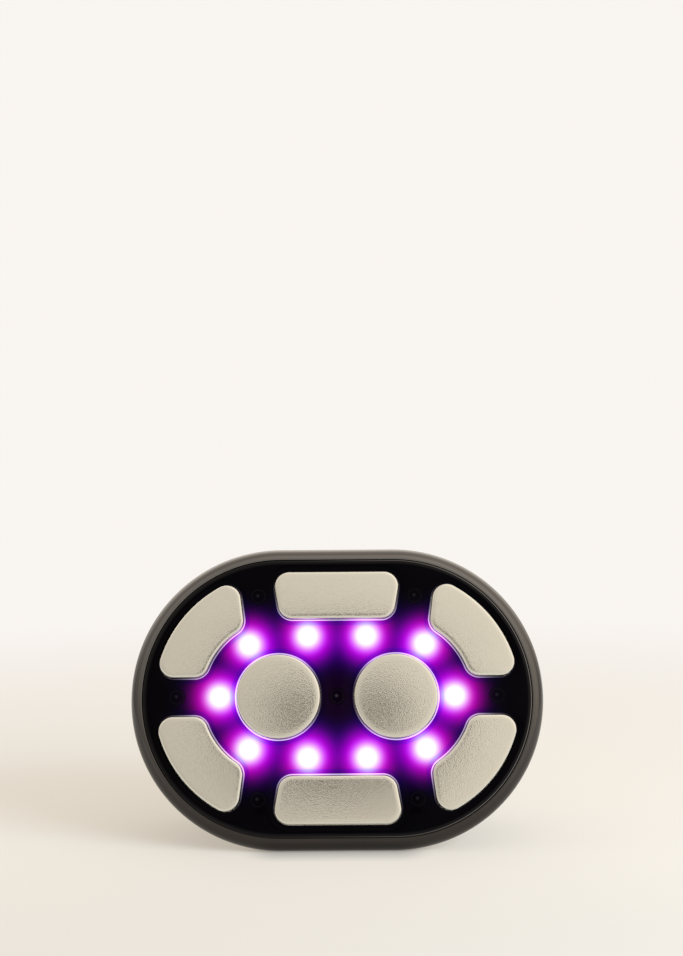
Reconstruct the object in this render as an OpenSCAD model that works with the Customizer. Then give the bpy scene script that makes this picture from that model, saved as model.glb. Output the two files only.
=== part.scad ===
// Palm-held radio-frequency body device: eight metal electrodes and seventeen lights behind a
// smoked window, in a stadium-shaped body that stands on its own flat lower side.
// Every piece is drawn in the face's own frame: x to the right, y up the face, z out of it,
// with depths counted back from the face. face_frame() then stands the piece up.

/* [Body] */
// Width over both round ends
body_w = 120; // [116:1:130]
// Height of the rim, measured up the face
body_h = 87; // [86:0.5:92]
// Draft of the side wall, which is also the face's lean when the body stands on it
lean = 13.5; // [11:0.5:14]
// Radius of the bullnose round the face
rim_r = 3.7; // [3.4:0.1:4.2]
// Width of the bezel in front view
bezel_w = 3.5; // [3:0.1:3.8]
// Radius where the side wall turns into the back
back_r = 9; // [8:0.5:10]
// Radius of the domed back
dome_r = 130; // [110:5:180]
// Thickness of the housing walls
wall = 2.2; // [1.8:0.1:2.4]
// Depth of the joint between the two housings
split_t = 18; // [17.5:0.5:19.5]
// Thickness of the gasket between the housings
case_gasket_t = 0.6; // [0.4:0.1:1]
// Length of the tongue that laps the joint
tongue_h = 1.8; // [1.2:0.1:2.4]

/* [Window and ledge] */
// Thickness of the smoked window
window_t = 2.4; // [2:0.1:3]
// Gap between the window and the bezel
window_gap = 0.15; // [0.1:0.05:0.3]
// Width of the ledge under the window's edge
ledge_w = 1.35; // [1.1:0.05:1.5]
// Thickness of the ledge
ledge_h = 2.5; // [2:0.1:3]
// Thickness of the window's adhesive gasket
window_gasket_t = 0.3; // [0.2:0.1:0.5]

/* [Electrodes] */
// Distance from the window's edge to the outer electrodes
pad_margin = 3.35; // [3.1:0.05:3.7]
// Width of the ring that the outer electrodes lie in
pad_ring_w = 14; // [13:0.1:14.8]
// Half the width of a bar electrode at its middle
bar_half = 17.7; // [16.5:0.1:18.3]
// Slope of a bar electrode's short sides
bar_slope = 10.3; // [6:0.1:12]
// Height above the middle of a corner electrode's level side
corner_v = 5.6; // [5:0.1:6.4]
// Sideways place of a corner electrode's upright side
corner_u = 27; // [26.6:0.1:28.5]
// Height at which that place is measured
corner_u_v = 20.9; // [20:0.1:22]
// Slope of a corner electrode's upright side
corner_slope = 7.6; // [5:0.1:10]
// Corner radius of the outer electrodes
pad_corner_r = 4.2; // [3.8:0.1:4.8]
// Gap from the middle of the face to a round electrode
disc_in_gap = 4.9; // [4:0.1:6]
// Gap from a round electrode to the lit light at the end beside it
disc_led_gap = 2.4; // [2:0.1:4]
// How far an electrode's crown stands out of the face
pad_h = 2; // [1.5:0.1:2.5]
// Rise of the crown above the electrode's shoulder
pad_crown = 0.4; // [0.2:0.1:0.6]
// Radius of an electrode's shoulder
pad_edge_r = 1.4; // [0.8:0.1:1.6]
// Gap between an electrode and the window
pad_gap = 0.45; // [0.3:0.05:0.6]
// Width of an electrode's flange under the window
flange_w = 1.2; // [1:0.1:1.3]
// Thickness of that flange
flange_t = 1.2; // [1:0.1:1.6]
// Thickness of the seal on the flange
pad_seal_t = 0.6; // [0.4:0.1:0.8]

/* [Lights] */
// Radius of a light's dome
led_r = 2.5; // [2:0.1:2.7]
// Gap from the electrode ring in to the row of lit lights
led_inset = 5; // [4.6:0.1:5.2]
// Sideways place of the lit lights on the straights
led_u = 8.5; // [8:0.1:10]
// Angle of the slanting lit lights about each round end
led_angle = 59; // [55:1:62]
// Angle of the slanting infrared lights about each round end
infrared_angle = 78; // [76:1:80]

/* [Boards and frame] */
// Thickness of the LED board and the main board
board_t = 1.6; // [1:0.1:1.8]
// Thickness of the electrode carrier
carrier_t = 2.2; // [2:0.1:2.6]
// Height of the carrier's ring under the ledge
ring_h = 1.8; // [1.4:0.1:2]
// Room between the LED board and the mid frame
led_space = 4; // [3.6:0.1:4.5]
// Thickness of the mid frame
mid_t = 2; // [1.6:0.1:2.2]
// Height of the main board's standoffs
standoff_h = 1; // [0.8:0.1:1.2]
// Room between the main board and the battery tray
chip_space = 2; // [1.8:0.1:2.2]
// Radius of the pillars that take the housing screws
pillar_r = 3.6; // [3.4:0.1:3.7]
// Sideways place of those pillars past the centres of the round ends
pillar_end = 11.5; // [10.5:0.1:12.5]
// Gap between those pillars and the cells
pillar_gap = 0.75; // [0.5:0.05:1]
// Gap between the main board and the housing's wall
main_board_gap = 3.7; // [3.5:0.1:5]

/* [Battery] */
// Diameter of a cell
cell_d = 18.3; // [18:0.1:18.4]
// Length of a cell
cell_l = 50; // [48:0.5:56]
// Gap between the two cells
cell_gap = 0.7; // [0.5:0.1:0.8]
// Thickness of the tray's floor
tray_t = 1.4; // [1.2:0.1:1.6]
// Room between the cells and the control board, which sets the body's depth
cell_room = 1.6; // [1.5:0.1:6]

/* [Back and buttons] */
// Depth from the crown of the back down to the cover's seat
cover_rise = 4.8; // [4.6:0.1:5]
// Radius of the palm cover's round ends
cover_r = 29.1; // [28.8:0.1:29.4]
// Thickness of the palm cover
cover_t = 2; // [1.6:0.1:2.2]
// Thickness of the rear wall under the palm cover
rear_wall_t = 1.9; // [1.7:0.1:2]
// Radius of the control panel's round ends
panel_r = 11; // [10.8:0.1:11.5]
// Gap between the outer buttons and the panel's ends
panel_end_gap = 2; // [1.8:0.1:3]
// Thickness of the control panel
panel_t = 1.8; // [1.6:0.1:2]
// How far the panel lies below the crown
panel_drop = 0.8; // [0.6:0.1:0.9]
// Radius of the power and mode buttons
big_button_r = 5.5; // [5:0.1:5.7]
// Radius of the minus and plus buttons
small_button_r = 4.5; // [4:0.1:4.7]
// Gap between the flanges of two buttons
button_row_gap = 2; // [1.6:0.1:3]
// How far a button stands out of the panel
button_h = 0.8; // [0.6:0.1:1.2]
// Travel of a button
button_travel = 0.5; // [0.3:0.1:0.6]
// Gap round a button
button_gap = 0.1; // [0.08:0.01:0.15]
// Width of a button's flange
button_flange_w = 1; // [0.6:0.1:1.1]
// Thickness of a button's flange
button_flange_t = 1; // [0.8:0.1:1.2]
// Width of a switch
switch_w = 6; // [5.5:0.1:6.2]
// Height of a switch
switch_h = 3.5; // [3.2:0.1:3.6]
// Radius of a switch plunger
plunger_r = 1.75; // [1.5:0.05:2]
// How far a plunger stands out of its switch
plunger_out = 1.5; // [1.2:0.1:1.6]
// Radius of a level light
level_r = 0.75; // [0.6:0.05:0.9]
// Step between the level lights
level_step = 4; // [3:0.1:4.5]

/* [Motor] */
// Radius of the motor
motor_r = 4.8; // [4.4:0.1:5]
// Length of the motor
motor_l = 14; // [12:0.5:15]
// Radius of the motor's shaft
shaft_r = 0.75; // [0.5:0.05:1]
// Running gap round the shaft
shaft_gap = 0.05; // [0.03:0.01:0.08]
// Radius of the eccentric weight
weight_r = 5.2; // [4.6:0.1:5.3]
// Length of the eccentric weight
weight_l = 6; // [4:0.5:6]
// Thickness of the rubber boot
boot_t = 0.8; // [0.6:0.1:1]

/* [Charging] */
// Width of the charging socket
socket_w = 9; // [8.8:0.1:9.2]
// Height of the charging socket
socket_h = 3.2; // [3:0.1:3.4]
// Length of the charging socket
socket_l = 7.5; // [7:0.1:8]
// Gap between the socket and its opening
socket_gap = 0.4; // [0.3:0.05:0.6]

/* [Fasteners] */
// Radius of the small screws' shanks
screw_r = 1; // [0.8:0.05:1]
// Radius of the small screws' heads
screw_head_r = 1.6; // [1.4:0.1:1.6]
// Height of the small screws' heads
screw_head_h = 1.2; // [1:0.1:1.3]
// Radius of the housing screws' shanks
long_screw_r = 1.25; // [1:0.05:1.5]
// Radius of the housing screws' heads
long_head_r = 2.1; // [1.9:0.1:2.2]
// Height of the housing screws' heads
long_head_h = 1.8; // [1.4:0.1:2]
// Gap round a screw's shank
screw_gap = 0.05; // [0.03:0.01:0.1]

/* [Hidden] */
$fn = 48;

// Clearances between neighbours
slip = 0.1;
clear = 0.3;
loose = 0.5;
past = 1;
join = 0.01;

// Radii of the stadium outlines, all about the same two end centres
end_r = body_h / 2;
half = (body_w - body_h) / 2;
end_u = half + end_r;
end_c = [half, 0];
rim_c = end_r - rim_r;
recess_r = end_r - bezel_w;
window_r = recess_r - window_gap;
ledge_r = window_r - ledge_w;
ring_out = window_r - pad_margin;
ring_in = ring_out - pad_ring_w;
ring_mid = (ring_out + ring_in) / 2;
led_track_r = ring_in - led_inset;
disc_out_u = half + led_track_r - led_r - disc_led_gap;
disc_r = (disc_out_u - disc_in_gap) / 2;
disc_u = disc_in_gap + disc_r;
infrared_out = 0.35;
infrared_track_r = ring_mid + infrared_out;

// Depths from the face, front to back
gasket_under_t = window_t + window_gasket_t;
ledge_under_t = gasket_under_t + ledge_h;
flange_top_t = window_t + pad_seal_t;
flange_under_t = flange_top_t + flange_t;
carrier_under_t = flange_under_t + carrier_t;
ring_under_t = ledge_under_t + ring_h;
led_board_under_t = carrier_under_t + board_t;
mid_top_t = led_board_under_t + led_space;
mid_under_t = mid_top_t + mid_t;
main_top_t = mid_under_t + standoff_h;
main_under_t = main_top_t + board_t;
tray_top_t = main_under_t + chip_space;
tray_under_t = tray_top_t + tray_t;
cell_t = tray_under_t + clear + cell_d / 2;
cell_v = (cell_d + cell_gap) / 2;
cell_back_t = cell_t + cell_d / 2;

// Depths of the control board and buttons behind the cells, and of the crown of the back
control_board_t = 1.2;
control_front_t = cell_back_t + cell_room;
control_back_t = control_front_t + control_board_t;
switch_top_t = control_back_t + switch_h;
button_in_t = switch_top_t + plunger_out;
panel_in_t = button_in_t + button_flange_t;
panel_out_t = panel_in_t + panel_t;
button_out_t = panel_out_t + button_h;
body_t = panel_out_t + panel_drop;
seat_t = body_t - cover_rise;
rear_inner_t = seat_t - rear_wall_t;

// The body's outline in section: bullnose, drafted side, back corner and dome
side_line = rim_c * cos(lean) + rim_r * (1 + sin(lean));
dome_t = body_t - dome_r;
corner_line = side_line - back_r;
dome_reach = dome_r - back_r;
corner_mid = corner_line * sin(lean) + cos(lean) * cos(lean) * dome_t;
corner_rest = pow(corner_line, 2) + pow(cos(lean), 2) * (pow(dome_t, 2) - pow(dome_reach, 2));
corner_t = corner_mid + sqrt(pow(corner_mid, 2) - corner_rest);
corner_c = (corner_line - corner_t * sin(lean)) / cos(lean);
dome_angle = atan2(corner_t - dome_t, corner_c);
gasket_set_back = 0.5;

// The flat strip that the body stands on, and how far the face's centre is from it
strip_front = rim_r + rim_r * sin(lean);
strip_back = corner_t + back_r * sin(lean);
strip_front_v = rim_c + rim_r * cos(lean);
strip_back_v = corner_c + back_r * cos(lean);
stand_y = (strip_front + strip_back) / 2 * cos(lean) - (strip_front_v + strip_back_v) / 2 * sin(lean);
stand_z = side_line;

// Outline of a bar electrode and of a corner electrode, and their middles
pad_turn = 5;
bar_low = ring_in + pad_corner_r;
bar_high = ring_out - pad_corner_r;
side_in = [cos(corner_slope), -sin(corner_slope)];
side_up = [sin(corner_slope), cos(corner_slope)];
side_foot = [corner_u - half, corner_u_v] + pad_corner_r * side_in;
low_out = level_centre(ring_out - pad_corner_r);
low_in = level_centre(ring_in + pad_corner_r);
high_out = side_centre(ring_out - pad_corner_r);
high_in = side_centre(ring_in + pad_corner_r);
corner_mid_angle = (heading(low_out) + heading(high_out)) / 2;
corner_pad_p = on_end(ring_mid, corner_mid_angle);
bar_pad_p = [0, ring_mid];
disc_p = [disc_u, 0];
infrared_v = infrared_track_r * sin(infrared_angle);
pad_gap_mid_u = (bar_edge(infrared_v) + corner_edge(infrared_v)) / 2;

// Section of an electrode's shoulder and crown as [inset, height] steps
shoulder_n = 4;
crown_inset = 3.4;
crown_reach = (ring_out - ring_in) / 2;
crown_share = pow((crown_reach - crown_inset) / (crown_reach - pad_edge_r), 2);
pad_steps = concat(
    [[0, -flange_top_t]],
    [for (i = [0 : shoulder_n]) [
        pad_edge_r * (1 - cos(90 * i / shoulder_n)),
        pad_h - pad_crown - pad_edge_r * (1 - sin(90 * i / shoulder_n))
    ]],
    [[crown_inset, pad_h - pad_crown * crown_share]]
);

// Screws into the electrodes, and the pins that touch them
screw_turn = 13;
bar_screw_u = 10;
pad_screw_depth = 1;
pad_screw_p = concat(
    pair(disc_p),
    four([bar_screw_u, ring_mid]),
    four(on_end(ring_mid, corner_mid_angle + screw_turn)),
    four(on_end(ring_mid, corner_mid_angle - screw_turn))
);
disc_pin_v = 6;
contact_p = concat(pair(disc_p + [0, disc_pin_v]), [bar_pad_p, -bar_pad_p], four(corner_pad_p));
contact_r = 1;
contact_tip_r = 0.6;
sensor_p = pair(disc_p - [0, disc_pin_v]);
sensor_r = 0.8;

// Lights: places, foot, gap under the window and the reflector cup round each
lit_p = concat(
    pair(on_end(led_track_r, 0)),
    four(on_end(led_track_r, led_angle)),
    four([led_u, led_track_r])
);
infrared_p = concat(
    [[0, 0]],
    pair(on_end(infrared_track_r, 0)),
    four([pad_gap_mid_u, infrared_v])
);
led_foot_h = 0.8;
led_foot_r = led_r + 0.4;
led_foot_t = carrier_under_t - led_foot_h;
led_top_t = window_t + 0.2;
cup_r = led_r + 1.3;
cup_h = led_foot_t - flange_under_t + join;

// Screw bosses of the front housing, in the gaps between the electrodes
boss_r = 2.8;
boss_in = 1.7;
boss_c = ledge_r - boss_in;
boss_v = sqrt(pow(boss_c, 2) - pow(max(0, pad_gap_mid_u - half), 2));
boss_p = concat(pair(on_end(boss_c, 0)), four([pad_gap_mid_u, boss_v]));

// LED board: its screws, its ribbon's connector and its small parts
led_board_r = boss_c - boss_r - loose;
led_screw_v = 13;
led_screw_turn = 28;
led_screw_r = led_track_r + 1.7;
led_screw_p = concat([[0, led_screw_v], [0, -led_screw_v]], four(on_end(led_screw_r, led_screw_turn)));
connector = [14, 4, 1.6];
connector_v = -20;
ribbon_t = 0.3;
driver_size = [5, 4, 1];
driver_u = 24;
driver_v = 6;
driver_p = four([driver_u, driver_v]);
resistor_size = [2, 1.2, 0.6];
resistor_step = 8;
resistor_v = 11.5;
resistor_p = [for (i = [-4.5 : 4.5]) [i * resistor_step, resistor_v]];

// Mid frame: its rim, its window and its standoffs
mid_wall = 1.4;
mid_r = side_r(mid_under_t, wall) - clear;
mid_rim_r = side_r(mid_top_t, wall) - loose;
mid_window_r = 9;
standoff_r = 2.4;
pillar_u = half + pillar_end;
pillar_v = cell_v + cell_d / 2 + pillar_gap + pillar_r;
pillar_p = four([pillar_u, pillar_v]);

// Main board: its screws and its parts as [place, size]
main_board_r = side_r(main_under_t, wall) - main_board_gap;
main_edge = 6;
main_screw_turn = 45;
main_screw_p = concat(
    [[0, main_board_r - main_edge], [0, main_edge - main_board_r]],
    four(on_end(main_board_r - main_edge, main_screw_turn))
);
chips = [
    [[-14, 4], [10, 10, 1.4]],
    [[6, 6], [7, 7, 1.2]],
    [[20, -6], [6, 5, 1.4]],
    [[-4, -8], [3, 1.6, 1]],
    [[0, -8], [3, 1.6, 1]],
    [[4, -8], [3, 1.6, 1]]
];
control_ribbon_v = -23.5;
control_connector = [12, 3, 1.6];
capacitor_r = 3;
capacitor_h = 8;
capacitor_in = 5.8;
capacitor_turn = 32;
capacitor_p = four(on_end(main_board_r - capacitor_in, capacitor_turn));
groove_r = 2;
groove_w = 0.6;
groove_h = 0.3;
buzzer_r = 6;
buzzer_h = 4.4;
buzzer_in = 2;
buzzer_p = [buzzer_r + buzzer_in - half - main_board_r, 0];
buzzer_hole_r = 1;
buzzer_hole_h = 1.4;

// Transformer: two cheeks and three legs of ferrite round one winding
core_size = [12, 13, 10];
core_leg = 2.6;
core_window_w = (core_size[1] - 3 * core_leg) / 2;
core_window_v = (core_leg + core_window_w) / 2;
winding_out = 1;
core_in = 0.5;
core_u = half + main_board_r - core_in - winding_out - core_size[0] / 2;

// Ribbon from the main board round the cells to the control board
control_ribbon_half = 5;
control_ribbon_lift = 0.9;
control_ribbon_end_v = -8;

// Battery: tray, links, protection board, wires and foam
link_t = 0.3;
link_h = 6;
tray_wall = 1.5;
tray_end_u = cell_l / 2 + link_t + loose;
tray_v = 2 * cell_v;
tray_side_v = tray_v + tray_wall;
tray_reach = max(tray_end_u + tray_wall, pillar_u);
tray_end_in = 7.6;
tray_end_w = 2 * (tray_v - tray_end_in);
rib_w = 3;
rib_gap = 2.9;
rib_u = pillar_u - pillar_r - rib_gap - rib_w / 2;
groove_in = 1;
groove_depth = 0.6;
cap_r = 3;
protection_gap = 3.5;
protection_size = [2 * rib_u - rib_w - 2 * protection_gap, 1, 8];
wire_r = 0.7;
wire_rise = 6.5;
wire_out = 3;
wire_t = main_under_t + wire_rise;
wire_u = cell_l / 2 + link_t + wire_out;
wire_notch = [2, 4];
foam_half = [20, 9];
foam_dip = 2;

// Vibration motor, across the face behind the left-hand end
motor_lift = 9;
motor_room = 1.2;
motor_t = main_under_t + buzzer_h + motor_lift;
motor_v0 = -10;
motor_mid_v = motor_v0 + motor_l / 2;
motor_floor = 2;
weight_gap = 1;
weight_v = motor_v0 + motor_l + weight_gap + weight_l / 2;
weight_wall_r = side_r(motor_t + weight_r, wall);
weight_reach = sqrt(pow(weight_wall_r, 2) - pow(weight_v + weight_l / 2, 2));
motor_u = motor_room + weight_r - half - weight_reach;
hub_r = shaft_r * 2 + loose;
boot_l = motor_l - 2;

// Charging socket in the right-hand end, on its own small board
socket_drop = 10;
socket_t = tray_under_t + socket_drop;
socket_in = 1.2;
socket_shell = 0.3;
socket_dish = 1.4;
socket_mouth_u = half + side_r(socket_t, 0) - socket_in;
tongue_size = [6.7, 6.6, 0.7];
charge_board_t = 1;
charge_front_t = socket_t + socket_h / 2;
charge_back_t = charge_front_t + charge_board_t;
charge_boss_r = 2.4;
charge_bore = 6;
charge_behind = 7;
charge_lap = 2;
charge_u = socket_mouth_u - socket_l - charge_behind;
charge_size = [charge_behind + charge_lap, 24];
charge_notch = 2;
charge_screw_in = [3, 2.5];
charge_screw_v = charge_size[1] / 2 - charge_screw_in[1];
charge_screw_u = charge_u + charge_screw_in[0];
charge_screw_p = [[charge_screw_u, charge_screw_v], [charge_screw_u, -charge_screw_v]];
charge_wire_in = 1;
charge_wire_v = core_size[1] / 2 + clear + wire_r;
charge_wire_u = charge_u + charge_wire_in;
charge_wire_p = [[charge_wire_u, charge_wire_v], [charge_wire_u, -charge_wire_v]];

// Back: buttons as [place, radius], the panel's size and rim, level lights and the control board
small_button_u = small_button_r + button_flange_w + button_row_gap / 2;
big_button_u = small_button_u + small_button_r + big_button_r + 2 * button_flange_w + button_row_gap;
panel_half = big_button_u + big_button_r + button_flange_w + panel_end_gap - panel_r;
buttons = [
    [-big_button_u, big_button_r], [-small_button_u, small_button_r],
    [small_button_u, small_button_r], [big_button_u, big_button_r]
];
button_edge = 0.4;
button_lip_w = 1.2;
button_dish = 0.35;
panel_rim_w = 1.3;
level_in = 1;
level_v = panel_r - panel_rim_w - level_in - level_r;
level_p = [for (i = [-2 : 2]) [i * level_step, level_v]];
control_size = [2 * (panel_half + 13), 20];
control_screw_in = [3.5, 3];
control_screw_p = four(control_size / 2 - control_screw_in);
control_boss_r = 2;
plunger_depth = button_travel + 0.8;

// Housing screws: where their heads seat and their tips end
screw_seat_t = tray_under_t + 4;
screw_tip_t = mid_top_t + 0.6;

function arc(c, r, a0, a1, n) = [
    for (i = [0 : n]) c + r * [cos(a0 + (a1 - a0) * i / n), sin(a0 + (a1 - a0) * i / n)]
];

// Radius of the body's side at depth t, inset by d
function side_r(t, d) = (side_line - d - t * sin(lean)) / cos(lean);

// Half section of the body, inset by d
function body_profile(d) = concat(
    [[0, -d]],
    arc([rim_c, -rim_r], rim_r - d, 90, -lean, 10),
    arc([corner_c, -corner_t], back_r - d, -lean, -dome_angle, 10),
    arc([0, -dome_t], dome_r - d, -dome_angle, -90, 8)
);

// Stands a piece that is drawn in the face's frame on the ground
module face_frame() {
    translate([0, -stand_y, stand_z]) rotate([90 - lean, 0, 0]) children();
}

// A band of the half section between two depths, out to radius r
module band(t0, t1, r = body_w) {
    translate([0, -t1]) square([r, t1 - t0]);
}

// Carries a half section round the stadium
module swept(h = half) {
    for (s = [0, 1]) mirror([s, 0, 0]) translate([h, 0, 0]) rotate([0, 0, -90])
        rotate_extrude(angle = 180) children();
    rotate([90, 0, 90]) translate([0, 0, -h]) linear_extrude(2 * h) {
        children();
        mirror([1, 0]) children();
    }
}

module stadium(r, h = half) {
    square([2 * h, 2 * r], center = true);
    for (s = [-1, 1]) translate([s * h, 0]) circle(r);
}

// A flat piece between two depths
module layer(t0, t1) {
    translate([0, 0, -t1]) linear_extrude(t1 - t0) children();
}

module layer_ring(t0, t1, r_out, r_in) {
    layer(t0, t1) difference() {
        stadium(r_out);
        stadium(r_in);
    }
}

// A round pin or hole between two depths at a place on the face
module pin_at(p, r, t0, t1) {
    translate([p[0], p[1], -t1]) cylinder(r = r, h = t1 - t0);
}

module box_at(p, size, t0) {
    translate([p[0] - size[0] / 2, p[1] - size[1] / 2, -t0 - size[2]]) cube(size);
}

function on_end(r, a) = [half + r * cos(a), r * sin(a)];
function mirrored(p, i, j) = [p[0] * i, p[1] * j];
function four(p) = [for (i = [-1, 1], j = [-1, 1]) mirrored(p, i, j)];
function pair(p) = [for (i = [-1, 1]) mirrored(p, i, 1)];

// A screw whose head is at depth t0 and whose shank runs forward, with a hex socket
module screw(p, r, head_r, head_h, seat, tip) {
    pin_at(p, r, tip, seat + past / 2);
    difference() {
        pin_at(p, head_r, seat, seat + head_h);
        translate([p[0], p[1], -seat - head_h - past])
            cylinder(r = head_r / 2, h = past + head_h / 2, $fn = 6);
    }
}

// Outline of the upper bar electrode, inset by d
function bar_edge(v) = bar_half + (v - ring_mid) * tan(bar_slope);
function bar_side(v) = bar_edge(v) - pad_corner_r / cos(bar_slope);
function corner_edge(v) = corner_u + (v - corner_u_v) * tan(corner_slope);
function bar_outline(d) = concat(
    arc([bar_side(bar_low), bar_low], pad_corner_r - d, -90, -bar_slope, pad_turn),
    arc([bar_side(bar_high), bar_high], pad_corner_r - d, -bar_slope, 90, pad_turn),
    arc([-bar_side(bar_high), bar_high], pad_corner_r - d, 90, 180 + bar_slope, pad_turn),
    arc([-bar_side(bar_low), bar_low], pad_corner_r - d, 180 + bar_slope, 270, pad_turn)
);

// Outline of the upper right corner electrode, inset by d
function side_reach(r) = -side_foot * side_up
    + sqrt(pow(side_foot * side_up, 2) - side_foot * side_foot + r * r);
function level_centre(r) = [sqrt(r * r - pow(corner_v + pad_corner_r, 2)), corner_v + pad_corner_r];
function side_centre(r) = side_foot + side_reach(r) * side_up;
function heading(p) = atan2(p[1], p[0]);
function corner_outline(d) = concat(
    arc(end_c + low_out, pad_corner_r - d, -90, heading(low_out), pad_turn),
    arc(end_c, ring_out - d, heading(low_out), heading(high_out), 2 * pad_turn),
    arc(end_c + high_out, pad_corner_r - d, heading(high_out), 180 - corner_slope, pad_turn),
    arc(end_c + high_in, pad_corner_r - d, 180 - corner_slope, heading(high_in) + 180, pad_turn),
    arc(end_c, ring_in + d, heading(high_in), heading(low_in), pad_turn),
    arc(end_c + low_in, pad_corner_r - d, heading(low_in) + 180, 270, pad_turn)
);
function outline(kind, d) = kind == "bar" ? bar_outline(d) : corner_outline(d);

module front_housing() {
    color("#201d1b") face_frame() difference() {
        union() {
            swept() difference() {
                intersection() {
                    polygon(body_profile(0));
                    band(0, split_t);
                }
                band(-past, split_t + past, ledge_r);
                band(-past, gasket_under_t, recess_r);
                intersection() {
                    polygon(body_profile(wall));
                    band(ledge_under_t, split_t + past);
                }
                intersection() {
                    polygon(body_profile(wall / 2 - slip / 2));
                    band(split_t - tongue_h - slip, split_t + past);
                }
            }
            for (p = boss_p) pin_at(p, boss_r, ledge_under_t - past, mid_top_t);
        }
        for (p = boss_p) pin_at(p, screw_r + screw_gap, ledge_under_t, mid_top_t + past);
    }
}

module rear_housing() {
    motor_block = [2 * motor_r, boot_l, rear_inner_t - motor_t + past];
    color("#1c1b1b") face_frame() difference() {
        union() {
            swept() {
                difference() {
                    intersection() {
                        polygon(body_profile(0));
                        band(split_t + case_gasket_t, body_t + past);
                    }
                    intersection() {
                        polygon(body_profile(wall));
                        band(0, rear_inner_t);
                    }
                    band(seat_t, body_t + past, cover_r + slip);
                }
                intersection() {
                    difference() {
                        polygon(body_profile(wall / 2 + slip / 2));
                        polygon(body_profile(wall));
                    }
                    band(split_t - tongue_h, split_t + case_gasket_t + past);
                }
            }
            // Rim that carries the control panel
            layer(seat_t - past, panel_in_t) difference() {
                stadium(panel_r, panel_half);
                stadium(panel_r - panel_rim_w, panel_half);
            }
            for (p = pillar_p) pin_at(p, pillar_r, tray_under_t, rear_inner_t + past);
            for (p = control_screw_p) pin_at(p, control_boss_r, control_back_t, rear_inner_t + past);
            for (p = charge_screw_p) pin_at(p, charge_boss_r, charge_back_t, rear_inner_t + past);
            box_at([motor_u, motor_mid_v], motor_block, motor_t);
        }
        for (p = pillar_p) {
            pin_at(p, long_screw_r + screw_gap, tray_under_t - past, seat_t + past);
            pin_at(p, long_head_r + clear, screw_seat_t, seat_t + past);
        }
        for (p = control_screw_p) pin_at(p, screw_r + screw_gap, control_back_t - past, rear_inner_t);
        for (p = charge_screw_p)
            pin_at(p, screw_r + screw_gap, charge_back_t - past, charge_back_t + charge_bore);
        for (b = buttons) pin_at([b[0], 0], switch_w / sqrt(2) + clear, rear_inner_t - past, seat_t + past);
        for (p = level_p) pin_at(p, level_r + clear, rear_inner_t - past, seat_t + past);
        motor_cylinder(motor_r + boot_t + slip, motor_l + past);
        socket_slot(socket_gap, socket_mouth_u - wall - past, socket_mouth_u + past);
        socket_slot(socket_gap + socket_dish, socket_mouth_u, end_u + past);
    }
}

module case_gasket() {
    color("#2b2b2d") face_frame() swept() intersection() {
        difference() {
            polygon(body_profile(gasket_set_back));
            polygon(body_profile(wall / 2));
        }
        band(split_t, split_t + case_gasket_t);
    }
}

module palm_cover() {
    color("#2d2b2b") face_frame() difference() {
        swept() difference() {
            intersection() {
                polygon(body_profile(0));
                band(seat_t, body_t + past, cover_r);
            }
            intersection() {
                polygon(body_profile(cover_t));
                band(seat_t - past, body_t + past, cover_r - cover_t);
            }
        }
        layer(seat_t - past, body_t + past) stadium(panel_r + slip, panel_half);
    }
}

module control_panel() {
    color("#141313") face_frame() layer(panel_in_t, panel_out_t) difference() {
        stadium(panel_r, panel_half);
        for (b = buttons) translate([b[0], 0]) circle(b[1] + button_gap);
        for (p = level_p) translate(p) circle(level_r + slip);
    }
}

// The eight apertures of the face, or the flanges under it, grown by d
module pads_2d(d) {
    for (s = [-1, 1]) translate([s * disc_u, 0]) circle(disc_r + d);
    for (j = [0, 1]) mirror([0, j]) polygon(bar_outline(-d));
    for (i = [0, 1], j = [0, 1]) mirror([i, 0]) mirror([0, j]) polygon(corner_outline(-d));
}

module face_window() {
    color("#150a1c") face_frame() {
        layer(0, window_t) difference() {
            stadium(window_r);
            pads_2d(pad_gap);
        }
    }
}

module window_gasket() {
    color("#26252a") face_frame()
        layer_ring(window_t, gasket_under_t, window_r - slip, ledge_r);
}

// A crowned electrode, lofted through its outline at each step
module crowned_pad(kind, middle) {
    n = len(outline(kind, 0));
    m = len(pad_steps);
    points = concat(
        [for (s = pad_steps) for (p = outline(kind, s[0])) [p[0], p[1], s[1]]],
        [[middle[0], middle[1], -flange_top_t], [middle[0], middle[1], pad_h]]
    );
    faces = concat(
        [for (k = [0 : m - 2], i = [0 : n - 1]) [k * n + i, (k + 1) * n + i, (k + 1) * n + (i + 1) % n]],
        [for (k = [0 : m - 2], i = [0 : n - 1]) [k * n + i, (k + 1) * n + (i + 1) % n, k * n + (i + 1) % n]],
        [for (i = [0 : n - 1]) [m * n, i, (i + 1) % n]],
        [for (i = [0 : n - 1]) [m * n + 1, (m - 1) * n + (i + 1) % n, (m - 1) * n + i]]
    );
    polyhedron(points, faces);
    layer(flange_top_t, flange_under_t) polygon(outline(kind, -flange_w));
}

// The blind holes for the screws that hold the electrodes
module pad_screw_holes() {
    for (p = pad_screw_p) pin_at(p, screw_r + screw_gap, pad_screw_depth, flange_under_t + past);
}

module outer_electrode(kind, middle, flip) {
    color("#c6beab") face_frame() difference() {
        mirror([flip[0], 0, 0]) mirror([0, flip[1], 0]) crowned_pad(kind, middle);
        pad_screw_holes();
    }
}

module disc_electrode(s) {
    color("#c6beab") face_frame() difference() {
        translate([s * disc_u, 0, 0]) {
            rotate_extrude() polygon(concat(
                [for (p = pad_steps) if (p[0] < crown_inset) [disc_r - p[0], p[1]]],
                [for (f = [0.6, 0.3]) [disc_r * f, pad_h - pad_crown * f * f]],
                [[0, pad_h], [0, -flange_top_t]]
            ));
            pin_at([0, 0], disc_r + flange_w, flange_top_t, flange_under_t);
        }
        pad_screw_holes();
    }
}

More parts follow.
